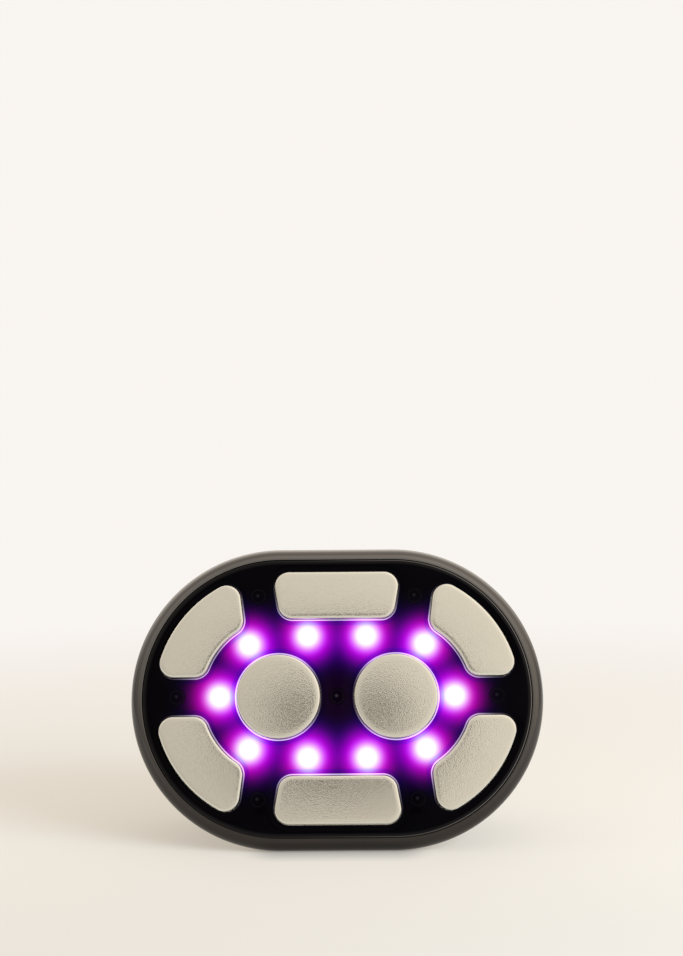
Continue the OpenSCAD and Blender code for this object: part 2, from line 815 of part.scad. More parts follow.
module electrode_left_disc() { disc_electrode(-1); }
module electrode_right_disc() { disc_electrode(1); }
module electrode_top_bar() { outer_electrode("bar", bar_pad_p, [0, 0]); }
module electrode_bottom_bar() { outer_electrode("bar", bar_pad_p, [0, 1]); }
module electrode_upper_left() { outer_electrode("corner", corner_pad_p, [1, 0]); }
module electrode_upper_right() { outer_electrode("corner", corner_pad_p, [0, 0]); }
module electrode_lower_left() { outer_electrode("corner", corner_pad_p, [1, 1]); }
module electrode_lower_right() { outer_electrode("corner", corner_pad_p, [0, 1]); }

module electrode_seals() {
    color("#3a3640") face_frame() layer(window_t, flange_top_t) difference() {
        pads_2d(flange_w);
        pads_2d(slip);
    }
}

module electrode_carrier() {
    color("#e9e6ea") face_frame() difference() {
        union() {
            layer(flange_under_t, carrier_under_t) stadium(ledge_r - clear);
            layer_ring(ledge_under_t, ring_under_t, side_r(ring_under_t, wall) - clear, led_board_r + loose);
        }
        for (p = boss_p) pin_at(p, boss_r + clear, flange_under_t - past, ring_under_t + past);
        for (p = lit_p) {
            pin_at(p, led_foot_r + clear, led_foot_t, carrier_under_t + past);
            translate([p[0], p[1], -led_foot_t]) cylinder(r1 = led_r + clear, r2 = cup_r, h = cup_h);
        }
        for (p = infrared_p) {
            pin_at(p, led_foot_r + clear, led_foot_t, carrier_under_t + past);
            pin_at(p, led_r + clear, flange_under_t - past, carrier_under_t);
        }
        for (p = pad_screw_p) {
            pin_at(p, screw_r + screw_gap, flange_under_t - past, carrier_under_t);
            pin_at(p, screw_head_r + slip, carrier_under_t - screw_head_h, carrier_under_t + past);
        }
        for (p = contact_p) pin_at(p, contact_r + clear, flange_under_t - past, carrier_under_t + past);
        for (p = sensor_p) pin_at(p, sensor_r + clear, flange_under_t - past, carrier_under_t + past);
        for (p = led_screw_p) pin_at(p, screw_r + screw_gap, flange_under_t - past, carrier_under_t + past);
    }
}

module electrode_screws() {
    seat = carrier_under_t - screw_head_h;
    color("#b8bcc2") face_frame() for (p = pad_screw_p)
        screw(p, screw_r, screw_head_r, screw_head_h, seat, pad_screw_depth + clear);
}

// A light: round foot, short barrel and domed lens
module light(p) {
    translate([p[0], p[1], 0]) rotate_extrude() {
        polygon(concat(
            [[0, -carrier_under_t], [led_foot_r, -carrier_under_t]],
            [[led_foot_r, -led_foot_t], [led_r, -led_foot_t]],
            arc([0, -led_top_t - led_r], led_r, 0, 90, 8)
        ));
    }
}

module lit_lights() {
    color("#f4ecff") face_frame() for (p = lit_p) light(p);
}

module infrared_lights() {
    color("#241d2a") face_frame() for (p = infrared_p) light(p);
}

module led_board() {
    color("#f0f0ee") face_frame() layer(carrier_under_t, led_board_under_t) difference() {
        stadium(led_board_r);
        for (p = led_screw_p) translate(p) circle(screw_r + clear);
    }
}

module led_board_parts() {
    color("#2a2a2e") face_frame() {
        box_at([0, connector_v], connector, led_board_under_t);
        for (p = driver_p) box_at(p, driver_size, led_board_under_t);
        for (p = resistor_p) box_at(p, resistor_size, led_board_under_t);
    }
}

module contact_pins() {
    color("#d8b45a") face_frame() for (p = contact_p) {
        pin_at(p, contact_r, (flange_under_t + carrier_under_t) / 2, carrier_under_t);
        pin_at(p, contact_tip_r, flange_under_t, carrier_under_t);
    }
}

module temperature_sensors() {
    color("#3c5a44") face_frame() for (p = sensor_p) pin_at(p, sensor_r, flange_under_t, carrier_under_t);
}

module mid_frame() {
    color("#3a3a3e") face_frame() difference() {
        union() {
            layer(mid_top_t, mid_under_t) stadium(mid_r);
            layer_ring(ring_under_t, mid_top_t + past, mid_rim_r, mid_rim_r - mid_wall);
            for (p = pillar_p) pin_at(p, pillar_r, mid_top_t, tray_top_t);
            for (p = main_screw_p) pin_at(p, standoff_r, mid_top_t, main_top_t);
        }
        for (p = boss_p) {
            pin_at(p, boss_r + clear, ring_under_t - past, mid_top_t);
            pin_at(p, screw_r + screw_gap, mid_top_t - past, mid_under_t + past);
        }
        for (p = pillar_p) pin_at(p, long_screw_r + screw_gap, screw_tip_t - clear, tray_top_t + past);
        for (p = main_screw_p) pin_at(p, screw_r + screw_gap, mid_top_t + clear, main_top_t + past);
        layer(mid_top_t - past, mid_under_t + past) {
            translate([0, connector_v]) square([connector[0] + 2, connector[1] + 2 * past], center = true);
            stadium(mid_window_r);
        }
    }
}

module mid_frame_screws() {
    color("#b8bcc2") face_frame() for (p = boss_p)
        screw(p, screw_r, screw_head_r, screw_head_h, mid_under_t, ledge_under_t + past);
}

module main_board() {
    color("#1f5b3a") face_frame() layer(main_top_t, main_under_t) difference() {
        stadium(main_board_r);
        for (p = pillar_p) translate(p) circle(pillar_r + clear);
        for (p = main_screw_p) translate(p) circle(screw_r + clear);
    }
}

module main_board_chips() {
    color("#26262a") face_frame() {
        for (c = chips) box_at(c[0], c[1], main_under_t);
        box_at([0, connector_v], connector, main_top_t - connector[2]);
        box_at([0, control_ribbon_v], control_connector, main_under_t);
    }
}

module main_board_capacitors() {
    color("#4a4f5c") face_frame() for (p = capacitor_p) difference() {
        pin_at(p, capacitor_r, main_under_t, main_under_t + capacitor_h);
        translate([p[0], p[1], -main_under_t - capacitor_h - past]) difference() {
            cylinder(r = groove_r, h = past + groove_h);
            cylinder(r = groove_r - groove_w, h = past + groove_h);
        }
    }
}

module transformer_core() {
    color("#3b3a3d") face_frame() difference() {
        box_at([core_u, 0], core_size, main_under_t);
        for (s = [-1, 1]) box_at(
            [core_u, s * core_window_v],
            [core_size[0] + past, core_window_w, core_size[2] - 2 * core_leg],
            main_under_t + core_leg
        );
    }
}

module transformer_winding() {
    inner = core_leg + 2 * slip;
    height = core_size[2] - 2 * core_leg - 2 * slip;
    color("#b5651d") face_frame() difference() {
        box_at(
            [core_u, 0],
            [core_size[0] + 2 * winding_out, core_leg + 2 * core_window_w - 2 * slip, height],
            main_under_t + core_leg + slip
        );
        box_at(
            [core_u, 0],
            [core_size[0] + 2 * slip, inner, height + 2 * past],
            main_under_t + core_leg - past
        );
    }
}

module buzzer() {
    back_t = main_under_t + buzzer_h;
    color("#18181a") face_frame() difference() {
        pin_at(buzzer_p, buzzer_r, main_under_t, back_t);
        pin_at(buzzer_p, buzzer_hole_r, back_t - buzzer_hole_h, back_t + past);
    }
}

module led_ribbon() {
    top = led_board_under_t + connector[2];
    color("#d9d4c8") face_frame()
        box_at([0, connector_v], [connector[0] - 2, ribbon_t, main_top_t - connector[2] - top], top);
}

module control_ribbon() {
    foot = main_under_t + control_connector[2];
    run_t = control_back_t + control_ribbon_lift;
    v0 = control_ribbon_v;
    v1 = control_ribbon_end_v;
    path = [
        [v0, -foot], [v0, -run_t], [v1, -run_t], [v1, -control_back_t],
        [v1 - ribbon_t, -control_back_t], [v1 - ribbon_t, -run_t + ribbon_t],
        [v0 + ribbon_t, -run_t + ribbon_t], [v0 + ribbon_t, -foot]
    ];
    color("#d9d4c8") face_frame() rotate([90, 0, 90]) translate([0, 0, -control_ribbon_half])
        linear_extrude(2 * control_ribbon_half) polygon(path);
}

module battery_tray() {
    end_mid_u = tray_end_u + tray_wall / 2;
    rib_h = cell_t - tray_top_t;
    color("#35353a") face_frame() difference() {
        union() {
            layer(tray_top_t, tray_under_t) {
                square([2 * tray_reach, 2 * tray_v], center = true);
                for (p = pillar_p) {
                    translate(p) circle(pillar_r);
                    translate([p[0], p[1] / 2]) square([2 * pillar_r, pillar_v], center = true);
                }
            }
            for (s = [-1, 1]) {
                box_at([s * end_mid_u, 0], [tray_wall, tray_end_w, rib_h], tray_top_t);
                box_at([s * rib_u, 0], [rib_w, 2 * tray_side_v, rib_h], tray_top_t);
            }
        }
        for (s = [-1, 1]) cell_shape(s * cell_v, cell_d / 2 + slip, 2 * tray_end_u);
        for (p = pillar_p) pin_at(p, long_screw_r + clear, tray_top_t - past, tray_under_t + past);
        for (s = [-1, 1])
            pin_at([wire_u, s * cell_v], wire_r + clear, tray_top_t - past, tray_under_t + past);
        for (s = [-1, 1]) box_at(
            [end_mid_u, s * cell_v],
            [tray_wall + past, wire_notch[0], wire_notch[1]],
            wire_t - wire_notch[1] / 2
        );
    }
}

module cell_shape(v, r, l) {
    translate([-l / 2, v, -cell_t]) rotate([0, 90, 0]) cylinder(r = r, h = l);
}

module battery_cells() {
    color("#3f6fb0") face_frame() for (s = [-1, 1]) difference() {
        cell_shape(s * cell_v, cell_d / 2, cell_l);
        translate([s * cell_l / 2, s * cell_v, -cell_t]) rotate([0, 90, 0]) difference() {
            cylinder(r = cell_d / 2 - groove_in, h = 2 * groove_depth, center = true);
            cylinder(r = cap_r, h = 2 * past, center = true);
        }
    }
}

module cell_links() {
    u = (cell_l + link_t) / 2;
    color("#c9ccd1") face_frame() {
        box_at([-u, 0], [link_t, 2 * cell_v + link_h, link_h], cell_t - link_h / 2);
        for (s = [-1, 1]) box_at([u, s * cell_v], [link_t, link_h, 2 * link_h], cell_t - 1.5 * link_h);
    }
}

module protection_board() {
    v = cell_v + cell_d / 2 + slip + protection_size[1] / 2;
    color("#1f5b3a") face_frame() box_at([0, v], protection_size, cell_t - protection_size[2] / 2);
}

module battery_wires() {
    color("#b03028") face_frame() for (s = [-1, 1]) translate([0, s * cell_v, 0]) {
        pin_at([wire_u, 0], wire_r, main_under_t, wire_t);
        translate([wire_u, 0, -wire_t]) sphere(wire_r);
        translate([cell_l / 2 + link_t, 0, -wire_t]) rotate([0, 90, 0])
            cylinder(r = wire_r, h = wire_u - cell_l / 2 - link_t);
    }
}

module battery_foam() {
    color("#4a4a4d") face_frame() difference() {
        box_at([0, 0], [2 * foam_half[0], 2 * foam_half[1], control_front_t - cell_t - slip], cell_t);
        for (s = [-1, 1]) cell_shape(s * cell_v, cell_d / 2 + slip, cell_l);
        layer(cell_t - past, cell_back_t - foam_dip) square(4 * foam_half, center = true);
    }
}

// A cylinder on the motor's axis
module motor_cylinder(r, l, v = motor_mid_v) {
    translate([motor_u, v, -motor_t]) rotate([90, 0, 0]) cylinder(r = r, h = l, center = true);
}

module vibration_motor() {
    color("#b9bcc0") face_frame() difference() {
        motor_cylinder(motor_r, motor_l);
        motor_cylinder(shaft_r + shaft_gap, motor_l, motor_mid_v + motor_floor);
    }
}

module motor_rotor() {
    shaft_end = weight_v + weight_l / 2;
    shaft_start = motor_v0 + motor_floor + slip;
    color("#8d8a84") face_frame() {
        motor_cylinder(shaft_r, shaft_end - shaft_start, (shaft_end + shaft_start) / 2);
        motor_cylinder(hub_r, weight_l, weight_v);
        difference() {
            motor_cylinder(weight_r, weight_l, weight_v);
            translate([motor_u - weight_r - past, weight_v - weight_l, -motor_t])
                cube([2 * (weight_r + past), 2 * weight_l, weight_r + past]);
        }
    }
}

module motor_boot() {
    color("#39393b") face_frame() difference() {
        motor_cylinder(motor_r + boot_t, boot_l);
        motor_cylinder(motor_r, motor_l);
    }
}

// An obround bar along x, as wide and high as the socket grown by g
module socket_slot(g, u0, u1) {
    r = socket_h / 2 + g;
    w = socket_w / 2 - socket_h / 2;
    translate([u0, 0, -socket_t]) rotate([90, 0, 90]) linear_extrude(u1 - u0) {
        square([2 * w, 2 * r], center = true);
        for (s = [-1, 1]) translate([s * w, 0]) circle(r);
    }
}

module charge_board() {
    color("#1f5b3a") face_frame() layer(charge_front_t, charge_back_t) difference() {
        translate([charge_u, -charge_size[1] / 2]) square(charge_size);
        for (p = charge_screw_p) translate(p) circle(screw_r + clear);
        translate([charge_u + charge_size[0] - charge_notch, -charge_size[1] / 2 - past])
            square([charge_notch + past, charge_notch + past]);
    }
}

module charging_socket() {
    tail_u = socket_mouth_u - socket_l;
    color("#c4c6c9") face_frame() {
        difference() {
            socket_slot(0, tail_u, socket_mouth_u);
            socket_slot(-socket_shell, tail_u + socket_shell, socket_mouth_u + past);
        }
        translate([tail_u, -tongue_size[1] / 2, -socket_t - tongue_size[2] / 2]) cube(tongue_size);
    }
}

module charge_wires() {
    color("#2c2c30") face_frame() for (p = charge_wire_p) pin_at(p, wire_r, main_under_t, charge_front_t);
}

module control_board() {
    color("#1f5b3a") face_frame() layer(control_front_t, control_back_t) difference() {
        square(control_size, center = true);
        for (p = control_screw_p) translate(p) circle(screw_r + clear);
    }
}

module switches() {
    color("#2b2b2f") face_frame() for (b = buttons) difference() {
        box_at([b[0], 0], [switch_w, switch_w, switch_h], control_back_t);
        pin_at([b[0], 0], plunger_r + shaft_gap, switch_top_t - plunger_depth - clear, switch_top_t + past);
    }
}

module plunger(b) {
    color("#d8d4ca") face_frame()
        pin_at([b[0], 0], plunger_r, switch_top_t - plunger_depth + button_travel, button_in_t);
}

module button(b) {
    r = b[1];
    flange_r = r + button_flange_w;
    color("#b7ab96") face_frame() translate([b[0], 0, 0]) rotate_extrude() polygon([
        [0, -button_in_t], [flange_r, -button_in_t], [flange_r, -panel_in_t], [r, -panel_in_t],
        [r, button_edge - button_out_t], [r - button_edge, -button_out_t], [r - button_lip_w, -button_out_t],
        [r - button_lip_w - button_edge, button_dish - button_out_t], [0, button_dish - button_out_t]
    ]);
}

module power_button() { button(buttons[0]); }
module minus_button() { button(buttons[1]); }
module plus_button() { button(buttons[2]); }
module mode_button() { button(buttons[3]); }
module power_plunger() { plunger(buttons[0]); }
module minus_plunger() { plunger(buttons[1]); }
module plus_plunger() { plunger(buttons[2]); }
module mode_plunger() { plunger(buttons[3]); }

module level_lights() {
    color("#e8e6f0") face_frame() for (p = level_p) pin_at(p, level_r, control_back_t, panel_out_t);
}

module board_screws() {
    color("#b8bcc2") face_frame() {
        for (p = led_screw_p)
            screw(p, screw_r, screw_head_r, screw_head_h, led_board_under_t, flange_under_t + clear);
        for (p = main_screw_p)
            screw(p, screw_r, screw_head_r, screw_head_h, main_under_t, mid_top_t + loose);
        for (p = control_screw_p) rear_screw(p, control_front_t, rear_inner_t - clear);
        for (p = charge_screw_p) rear_screw(p, charge_front_t, charge_back_t + charge_bore - past);
    }
}

// A small screw driven backwards into the rear housing
module rear_screw(p, seat, tip) {
    pin_at(p, screw_r, seat - screw_head_h / 2, tip);
    difference() {
        pin_at(p, screw_head_r, seat - screw_head_h, seat);
        translate([p[0], p[1], -seat + screw_head_h / 2]) cylinder(r = screw_head_r / 2, h = past, $fn = 6);
    }
}

module housing_screws() {
    color("#b8bcc2") face_frame() for (p = pillar_p)
        screw(p, long_screw_r, long_head_r, long_head_h, screw_seat_t, screw_tip_t);
}

front_housing();
rear_housing();
case_gasket();
palm_cover();
control_panel();
face_window();
window_gasket();
electrode_left_disc();
electrode_right_disc();
electrode_top_bar();
electrode_bottom_bar();
electrode_upper_left();
electrode_upper_right();
electrode_lower_left();
electrode_lower_right();
electrode_seals();
electrode_carrier();
electrode_screws();
lit_lights();
infrared_lights();
led_board();
led_board_parts();
contact_pins();
temperature_sensors();
mid_frame();
mid_frame_screws();
main_board();
main_board_chips();
main_board_capacitors();
transformer_core();
transformer_winding();
buzzer();
led_ribbon();
control_ribbon();
battery_tray();
battery_cells();
cell_links();
protection_board();
battery_wires();
battery_foam();
vibration_motor();
motor_rotor();
motor_boot();
charge_board();
charging_socket();
charge_wires();
control_board();
switches();
power_button();
mode_button();
minus_button();
plus_button();
power_plunger();
mode_plunger();
minus_plunger();
plus_plunger();
level_lights();
board_screws();
housing_screws();
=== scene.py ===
import math

import bmesh
import bpy
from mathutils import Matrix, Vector
from mathutils.geometry import delaunay_2d_cdt


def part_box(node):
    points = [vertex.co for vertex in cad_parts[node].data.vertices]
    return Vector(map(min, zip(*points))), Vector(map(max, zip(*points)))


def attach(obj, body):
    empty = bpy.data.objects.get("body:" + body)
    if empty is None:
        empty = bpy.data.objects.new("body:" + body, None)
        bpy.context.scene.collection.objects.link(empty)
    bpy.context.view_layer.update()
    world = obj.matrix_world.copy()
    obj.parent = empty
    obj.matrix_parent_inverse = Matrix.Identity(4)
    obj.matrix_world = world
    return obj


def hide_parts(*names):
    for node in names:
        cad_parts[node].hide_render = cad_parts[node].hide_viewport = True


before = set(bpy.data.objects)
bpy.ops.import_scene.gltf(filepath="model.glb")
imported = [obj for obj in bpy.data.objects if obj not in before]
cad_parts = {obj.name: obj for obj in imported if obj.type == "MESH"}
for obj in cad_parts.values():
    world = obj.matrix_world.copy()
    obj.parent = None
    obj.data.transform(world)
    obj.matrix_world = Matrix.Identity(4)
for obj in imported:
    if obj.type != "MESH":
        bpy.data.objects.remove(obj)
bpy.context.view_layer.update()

# Camera
# A long lens straight in front of the device, a little above it and nearly level. Its place and
# turn put the bezel and the electrodes where the photograph has them.
LENS_LENGTH = 59.19
CAMERA_PLACE, CAMERA_TURN = (0.0014, -0.46579, 0.11578), (88.813, 0.414, -0.0445)
camera = bpy.data.objects.new("camera", bpy.data.cameras.new("camera"))
camera.data.lens = LENS_LENGTH
camera.location = CAMERA_PLACE
camera.rotation_euler = [math.radians(turn) for turn in CAMERA_TURN]
bpy.context.scene.collection.objects.link(camera)
bpy.context.scene.camera = camera
bpy.context.scene.view_settings.view_transform = "Standard"

# Table and backdrop
# One wide sheet of cream paper. It glows with painted light that lifts its shade, dimmed to painted
# shade in front of the device and to a painted contact shadow where the device rests on it. Far off
# it takes the backdrop's colour, so no horizon shows.
PAPER = (0.225, 0.226, 0.221, 1)
# The paper's glow is painted light, which lifts its shade.
PAINTED_PAPER_LIGHT = (0.466, 0.421, 0.355, 1)
BACKDROP = (0.948, 0.911, 0.876, 1)
PAPER_HALF = 12.0
FIBRE_SCALE, FIBRE_RELIEF = 900, 0.0002
REST_HALF, REST_FRONT = 0.0165, -0.0205
# Each range below is where something starts and ends to change, and its value at both ends.
BLEND = (0.02, 0.62)
# The glow dims to a painted contact shadow where the device rests and to painted shade in front.
PAINTED_CONTACT_SHADOW = (0.0, 0.012, 0.42, 1.0)
PAINTED_FRONT_SHADE = (-0.12, -0.02, 0.85, 1.0)


def named_nodes(tree, **kinds):
    """Adds shader nodes to a tree under short names and returns them."""
    return {name: tree.nodes.new("ShaderNode" + kind) for name, kind in kinds.items()}


def feed(tree, node, values):
    """Gives the inputs of a node their values, which are constants or sockets."""
    for socket, value in zip(node.inputs, values):
        if isinstance(value, bpy.types.NodeSocket):
            tree.links.new(value, socket)
        else:
            socket.default_value = value


def set_inputs(node, constants):
    """Sets constants on a node's own sockets, by name."""
    for name, value in constants.items():
        node.inputs[name].default_value = value


def math_node(tree, operation, *values):
    """A Math node whose inputs are numbers or sockets. Returns its output."""
    node = tree.nodes.new("ShaderNodeMath")
    node.operation = operation
    feed(tree, node, values)
    return node.outputs[0]


def vector_node(tree, operation, *values, scale=None):
    """A Vector Math node whose inputs are vectors or sockets. Returns its output."""
    node = tree.nodes.new("ShaderNodeVectorMath")
    node.operation = operation
    feed(tree, node, values)
    if scale is not None:
        node.inputs["Scale"].default_value = scale
    return node.outputs["Value" if operation in ("LENGTH", "DISTANCE", "DOT_PRODUCT") else "Vector"]


def product(tree, first, *others):
    """Multiplies numbers and sockets with each other."""
    for other in others:
        first = math_node(tree, "MULTIPLY", first, other)
    return first


def smooth_step(tree, value, low, high, to_low=0.0, to_high=1.0):
    """Eases from to_low to to_high while value goes from low to high."""
    node = tree.nodes.new("ShaderNodeMapRange")
    node.interpolation_type = "SMOOTHSTEP"
    tree.links.new(value, node.inputs["Value"])
    set_inputs(node, {"From Min": low, "From Max": high, "To Min": to_low, "To Max": to_high})
    return node.outputs["Result"]


def new_finish(name):
    """A material, its node tree and its surface shader."""
    finish = bpy.data.materials.new(name)
    finish.use_nodes = True
    return finish, finish.node_tree, finish.node_tree.nodes["Principled BSDF"]


paper = bpy.data.meshes.new("paper")
corners = [(-1, -1), (1, -1), (1, 1), (-1, 1)]
paper.from_pydata([(x * PAPER_HALF, y * PAPER_HALF, 0) for x, y in corners], [], [(0, 1, 2, 3)])
table = bpy.data.objects.new("table", paper)
bpy.context.scene.collection.objects.link(table)

sheet, tree, skin = new_finish("paper_sheet")
own = named_nodes(
    tree, place="TexCoord", split="SeparateXYZ", path="LightPath", far="Emission", mix="MixShader",
    off="CombineXYZ", lit="Mix", fibre="TexNoise", bump="Bump",
)
place, split, path = own["place"].outputs["Object"], own["split"].outputs, own["path"].outputs
set_inputs(skin, {"Base Color": PAPER, "Roughness": 0.9, "Specular IOR Level": 0.1, "Emission Strength": 1})
set_inputs(own["far"], {"Color": BACKDROP})
set_inputs(own["fibre"], {"Scale": FIBRE_SCALE})
set_inputs(own["bump"], {"Strength": 0.05, "Distance": FIBRE_RELIEF})
tree.links.new(place, own["fibre"].inputs["Vector"])
tree.links.new(own["fibre"].outputs["Fac"], own["bump"].inputs["Height"])
tree.links.new(own["bump"].outputs["Normal"], skin.inputs["Normal"])
share = smooth_step(tree, vector_node(tree, "LENGTH", place), *BLEND)
direct = math_node(tree, "MAXIMUM", path["Is Camera Ray"], path["Is Glossy Ray"])
tree.links.new(product(tree, share, direct), own["mix"].inputs["Fac"])
tree.links.new(skin.outputs["BSDF"], own["mix"].inputs[1])
tree.links.new(own["far"].outputs["Emission"], own["mix"].inputs[2])
# The paper's painted glow dims to a painted contact shadow towards the strip that the device rests
# on, and to painted shade in front of the device.
tree.links.new(place, own["split"].inputs[0])
past_side = math_node(tree, "SUBTRACT", math_node(tree, "ABSOLUTE", split["X"]), REST_HALF)
past_front = math_node(tree, "SUBTRACT", split["Y"], REST_FRONT)
tree.links.new(math_node(tree, "MAXIMUM", past_side, 0.0), own["off"].inputs["X"])
tree.links.new(math_node(tree, "MINIMUM", past_front, 0.0), own["off"].inputs["Y"])
off = vector_node(tree, "LENGTH", own["off"].outputs["Vector"])
contact_shadow, front_shade = smooth_step(tree, off, *PAINTED_CONTACT_SHADOW), smooth_step(tree, split["Y"], *PAINTED_FRONT_SHADE)
own["lit"].data_type = "RGBA"
set_inputs(own["lit"], {"A": (0, 0, 0, 1), "B": PAINTED_PAPER_LIGHT})
tree.links.new(product(tree, contact_shadow, front_shade), own["lit"].inputs["Factor"])
tree.links.new(own["lit"].outputs["Result"], skin.inputs["Emission Color"])
tree.links.new(own["mix"].outputs["Shader"], tree.nodes["Material Output"].inputs["Surface"])
paper.materials.append(sheet)

# Studio light
# A cream tent, plain before the face and brighter beside and behind it, to the right and high up.
# The metal mirrors a dark patch in it, which is the camera's lens. A soft lamp on the right throws
# the shadow.
TENT = (1.0, 0.91, 0.80, 1)
# Brightness by the angle in degrees from the way in which the face mirrors the camera.
MIRRORED = Vector((0.0, -0.9515, 0.3075)).normalized()
TENT_LEVELS = [
    (0, 0.84), (15, 0.85), (29, 0.96), (66, 0.95), (90, 1.40), (112, 2.10), (135, 1.90), (160, 0.80)
]
LENS_WAY = Vector((0.0005, -0.9602, 0.2795)).normalized()
LENS_DARK = (0.99756, 1.0, 1.0, 0.04)
LEFT_LEVEL = 0.80
TO_RIGHT, FAR_RIGHT = (-0.35, 0.35, 0.0, 0.42), (0.70, 0.95, 0.0, 0.60)
FACED, NOT_BEHIND = (0.0, 0.6), (-0.1, 0.3)
HIGHER = (-0.15, 0.75, -0.14, 0.14)
LOW_BEHIND = (0.0, 0.65, 0.55, 1.0)
LAMP_PLACE, LAMP_AIM = Vector((0.60, -0.465, 0.325)), Vector((0, 0, 0.04))
LAMP_SIZE, LAMP_WATTS, LAMP_COLOUR = 0.50, 15.5, (0.82, 0.90, 1.0)

world = bpy.data.worlds.new("tent")
world.use_nodes = True
bpy.context.scene.world = world
tree = world.node_tree
own = named_nodes(
    tree, place="TexCoord", side="SeparateXYZ", path="LightPath", cloth="ValToRGB", seen="Mix",
    strength="Mix",
)
side = own["side"].outputs
toward = vector_node(tree, "NORMALIZE", own["place"].outputs["Generated"])
tree.links.new(toward, own["side"].inputs[0])
axis = vector_node(tree, "DOT_PRODUCT", toward, MIRRORED)
turn = math_node(tree, "DIVIDE", math_node(tree, "ARCCOSINE", axis), math.pi)
tree.links.new(turn, own["cloth"].inputs["Fac"])
stops = own["cloth"].color_ramp.elements
while len(stops) < len(TENT_LEVELS):
    stops.new(1.0)
for stop, (angle, bright) in zip(stops, TENT_LEVELS):
    stop.position = angle / 180
    stop.color = (bright, bright, bright, 1)
right, far_right = smooth_step(tree, side["X"], *TO_RIGHT), smooth_step(tree, side["X"], *FAR_RIGHT)
right = product(tree, math_node(tree, "ADD", right, far_right), smooth_step(tree, axis, *FACED))
sides = math_node(tree, "ADD", right, smooth_step(tree, side["Z"], *HIGHER))
sides = math_node(tree, "ADD", sides, LEFT_LEVEL)
before, above = smooth_step(tree, axis, *NOT_BEHIND), smooth_step(tree, side["Z"], *LOW_BEHIND)
horizon = math_node(tree, "MAXIMUM", before, above)
lens = smooth_step(tree, vector_node(tree, "DOT_PRODUCT", toward, LENS_WAY), *LENS_DARK)
level = product(tree, own["cloth"].outputs["Color"], sides, horizon, lens)
own["seen"].data_type = "RGBA"
set_inputs(own["seen"], {"A": TENT, "B": BACKDROP})
tree.links.new(level, own["strength"].inputs["A"])
set_inputs(own["strength"], {"B": 1.0})
for name in ("seen", "strength"):
    tree.links.new(own["path"].outputs["Is Camera Ray"], own[name].inputs["Factor"])
sky = tree.nodes["Background"]
tree.links.new(own["seen"].outputs["Result"], sky.inputs["Color"])
tree.links.new(own["strength"].outputs["Result"], sky.inputs["Strength"])

lamp = bpy.data.objects.new("right_box", bpy.data.lights.new("right_box", "AREA"))
lamp.data.size = LAMP_SIZE
lamp.data.energy = LAMP_WATTS
lamp.data.color = LAMP_COLOUR
lamp.location = LAMP_PLACE
lamp.rotation_euler = (LAMP_AIM - LAMP_PLACE).to_track_quat("-Z", "Y").to_euler()
lamp.visible_glossy = False
bpy.context.scene.collection.objects.link(lamp)

# Front housing
# The glossy black front half, injection moulded: a bullnose bezel, a recess with a ledge for
# the window, and drafted side walls. The device stands on the flat lower side of these walls.
LEAN_DEGREES = 13.5
LEAN = math.radians(LEAN_DEGREES)
HALF = 16.5
END_R = 43.49
RIM_R = 3.7
RIM_C = END_R - RIM_R
RECESS_R = 40.0
LEDGE_R = 38.5
RECESS_T, LEDGE_T = 2.7, 5.2
WALL = 2.2
SPLIT_T = 18.0
EDGE = 0.3
ROUND_STEPS = 72
SHARP = 35

low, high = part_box("face_window")
WINDOW_R = (high.x - low.x) * 500 - HALF
face_centre = Vector(
    (0, low.y + WINDOW_R * math.sin(LEAN) / 1000, high.z - WINDOW_R * math.cos(LEAN) / 1000)
)
side_line = RIM_C * math.cos(LEAN) + RIM_R * (1 + math.sin(LEAN))


def on_face(u, v, w):
    """A place measured on the face, in millimetres, in the row's frame and in metres."""
    y = v * math.sin(LEAN) - w * math.cos(LEAN)
    z = v * math.cos(LEAN) + w * math.sin(LEAN)
    return face_centre + Vector((u, y, z)) / 1000


def solid(name, points, faces, *finishes, sharp=SHARP, finish_of=None):
    """Makes a piece from places on the face, in millimetres, and faces between them.
    Walls of four-cornered faces are smooth and plane fills are flat. Each corner keeps its
    place on the face in the attribute face_place, for the finishes."""
    mesh = bpy.data.meshes.new(name)
    mesh.from_pydata([on_face(*point) for point in points], [], faces)
    keep = mesh.attributes.new("face_place", "FLOAT_VECTOR", "POINT")
    keep.data.foreach_set("vector", [number for point in points for number in point])
    mesh.polygons.foreach_set("use_smooth", [len(face) == 4 for face in faces])
    for finish in finishes:
        mesh.materials.append(finish)
    if finish_of:
        mesh.polygons.foreach_set("material_index", [finish_of(face) for face in faces])
    work = bmesh.new()
    work.from_mesh(mesh)
    bmesh.ops.remove_doubles(work, verts=work.verts, dist=1e-6)
    bmesh.ops.recalc_face_normals(work, faces=work.faces)
    work.to_mesh(mesh)
    work.free()
    mesh.set_sharp_from_angle(angle=math.radians(sharp))
    piece = bpy.data.objects.new(name, mesh)
    bpy.context.scene.collection.objects.link(piece)
    return piece


def bridge(loops, closed=False):
    """Faces between loops of equal length that follow each other."""
    count = len(loops[0])
    pairs = [(i, i + 1) for i in range(len(loops) - 1)]
    if closed:
        pairs.append((len(loops) - 1, 0))
    return [
        (a * count + j, a * count + (j + 1) % count, b * count + (j + 1) % count, b * count + j)
        for a, b in pairs
        for j in range(count)
    ]


def turn_points(centre, radius, start, end, steps):
    """Points on an arc between two angles in degrees."""
    angles = [math.radians(start + (end - start) * i / steps) for i in range(steps + 1)]
    return [(centre[0] + radius * math.cos(a), centre[1] + radius * math.sin(a)) for a in angles]


def stadium_loop(radius, depth, half=HALF, steps=ROUND_STEPS):
    """One loop round the device at a radius and a depth below the face."""
    right = turn_points((half, 0), radius, -90, 90, steps)
    left = [(-u, -v) for u, v in right]
    return [(u, v, -depth) for u, v in right + left]


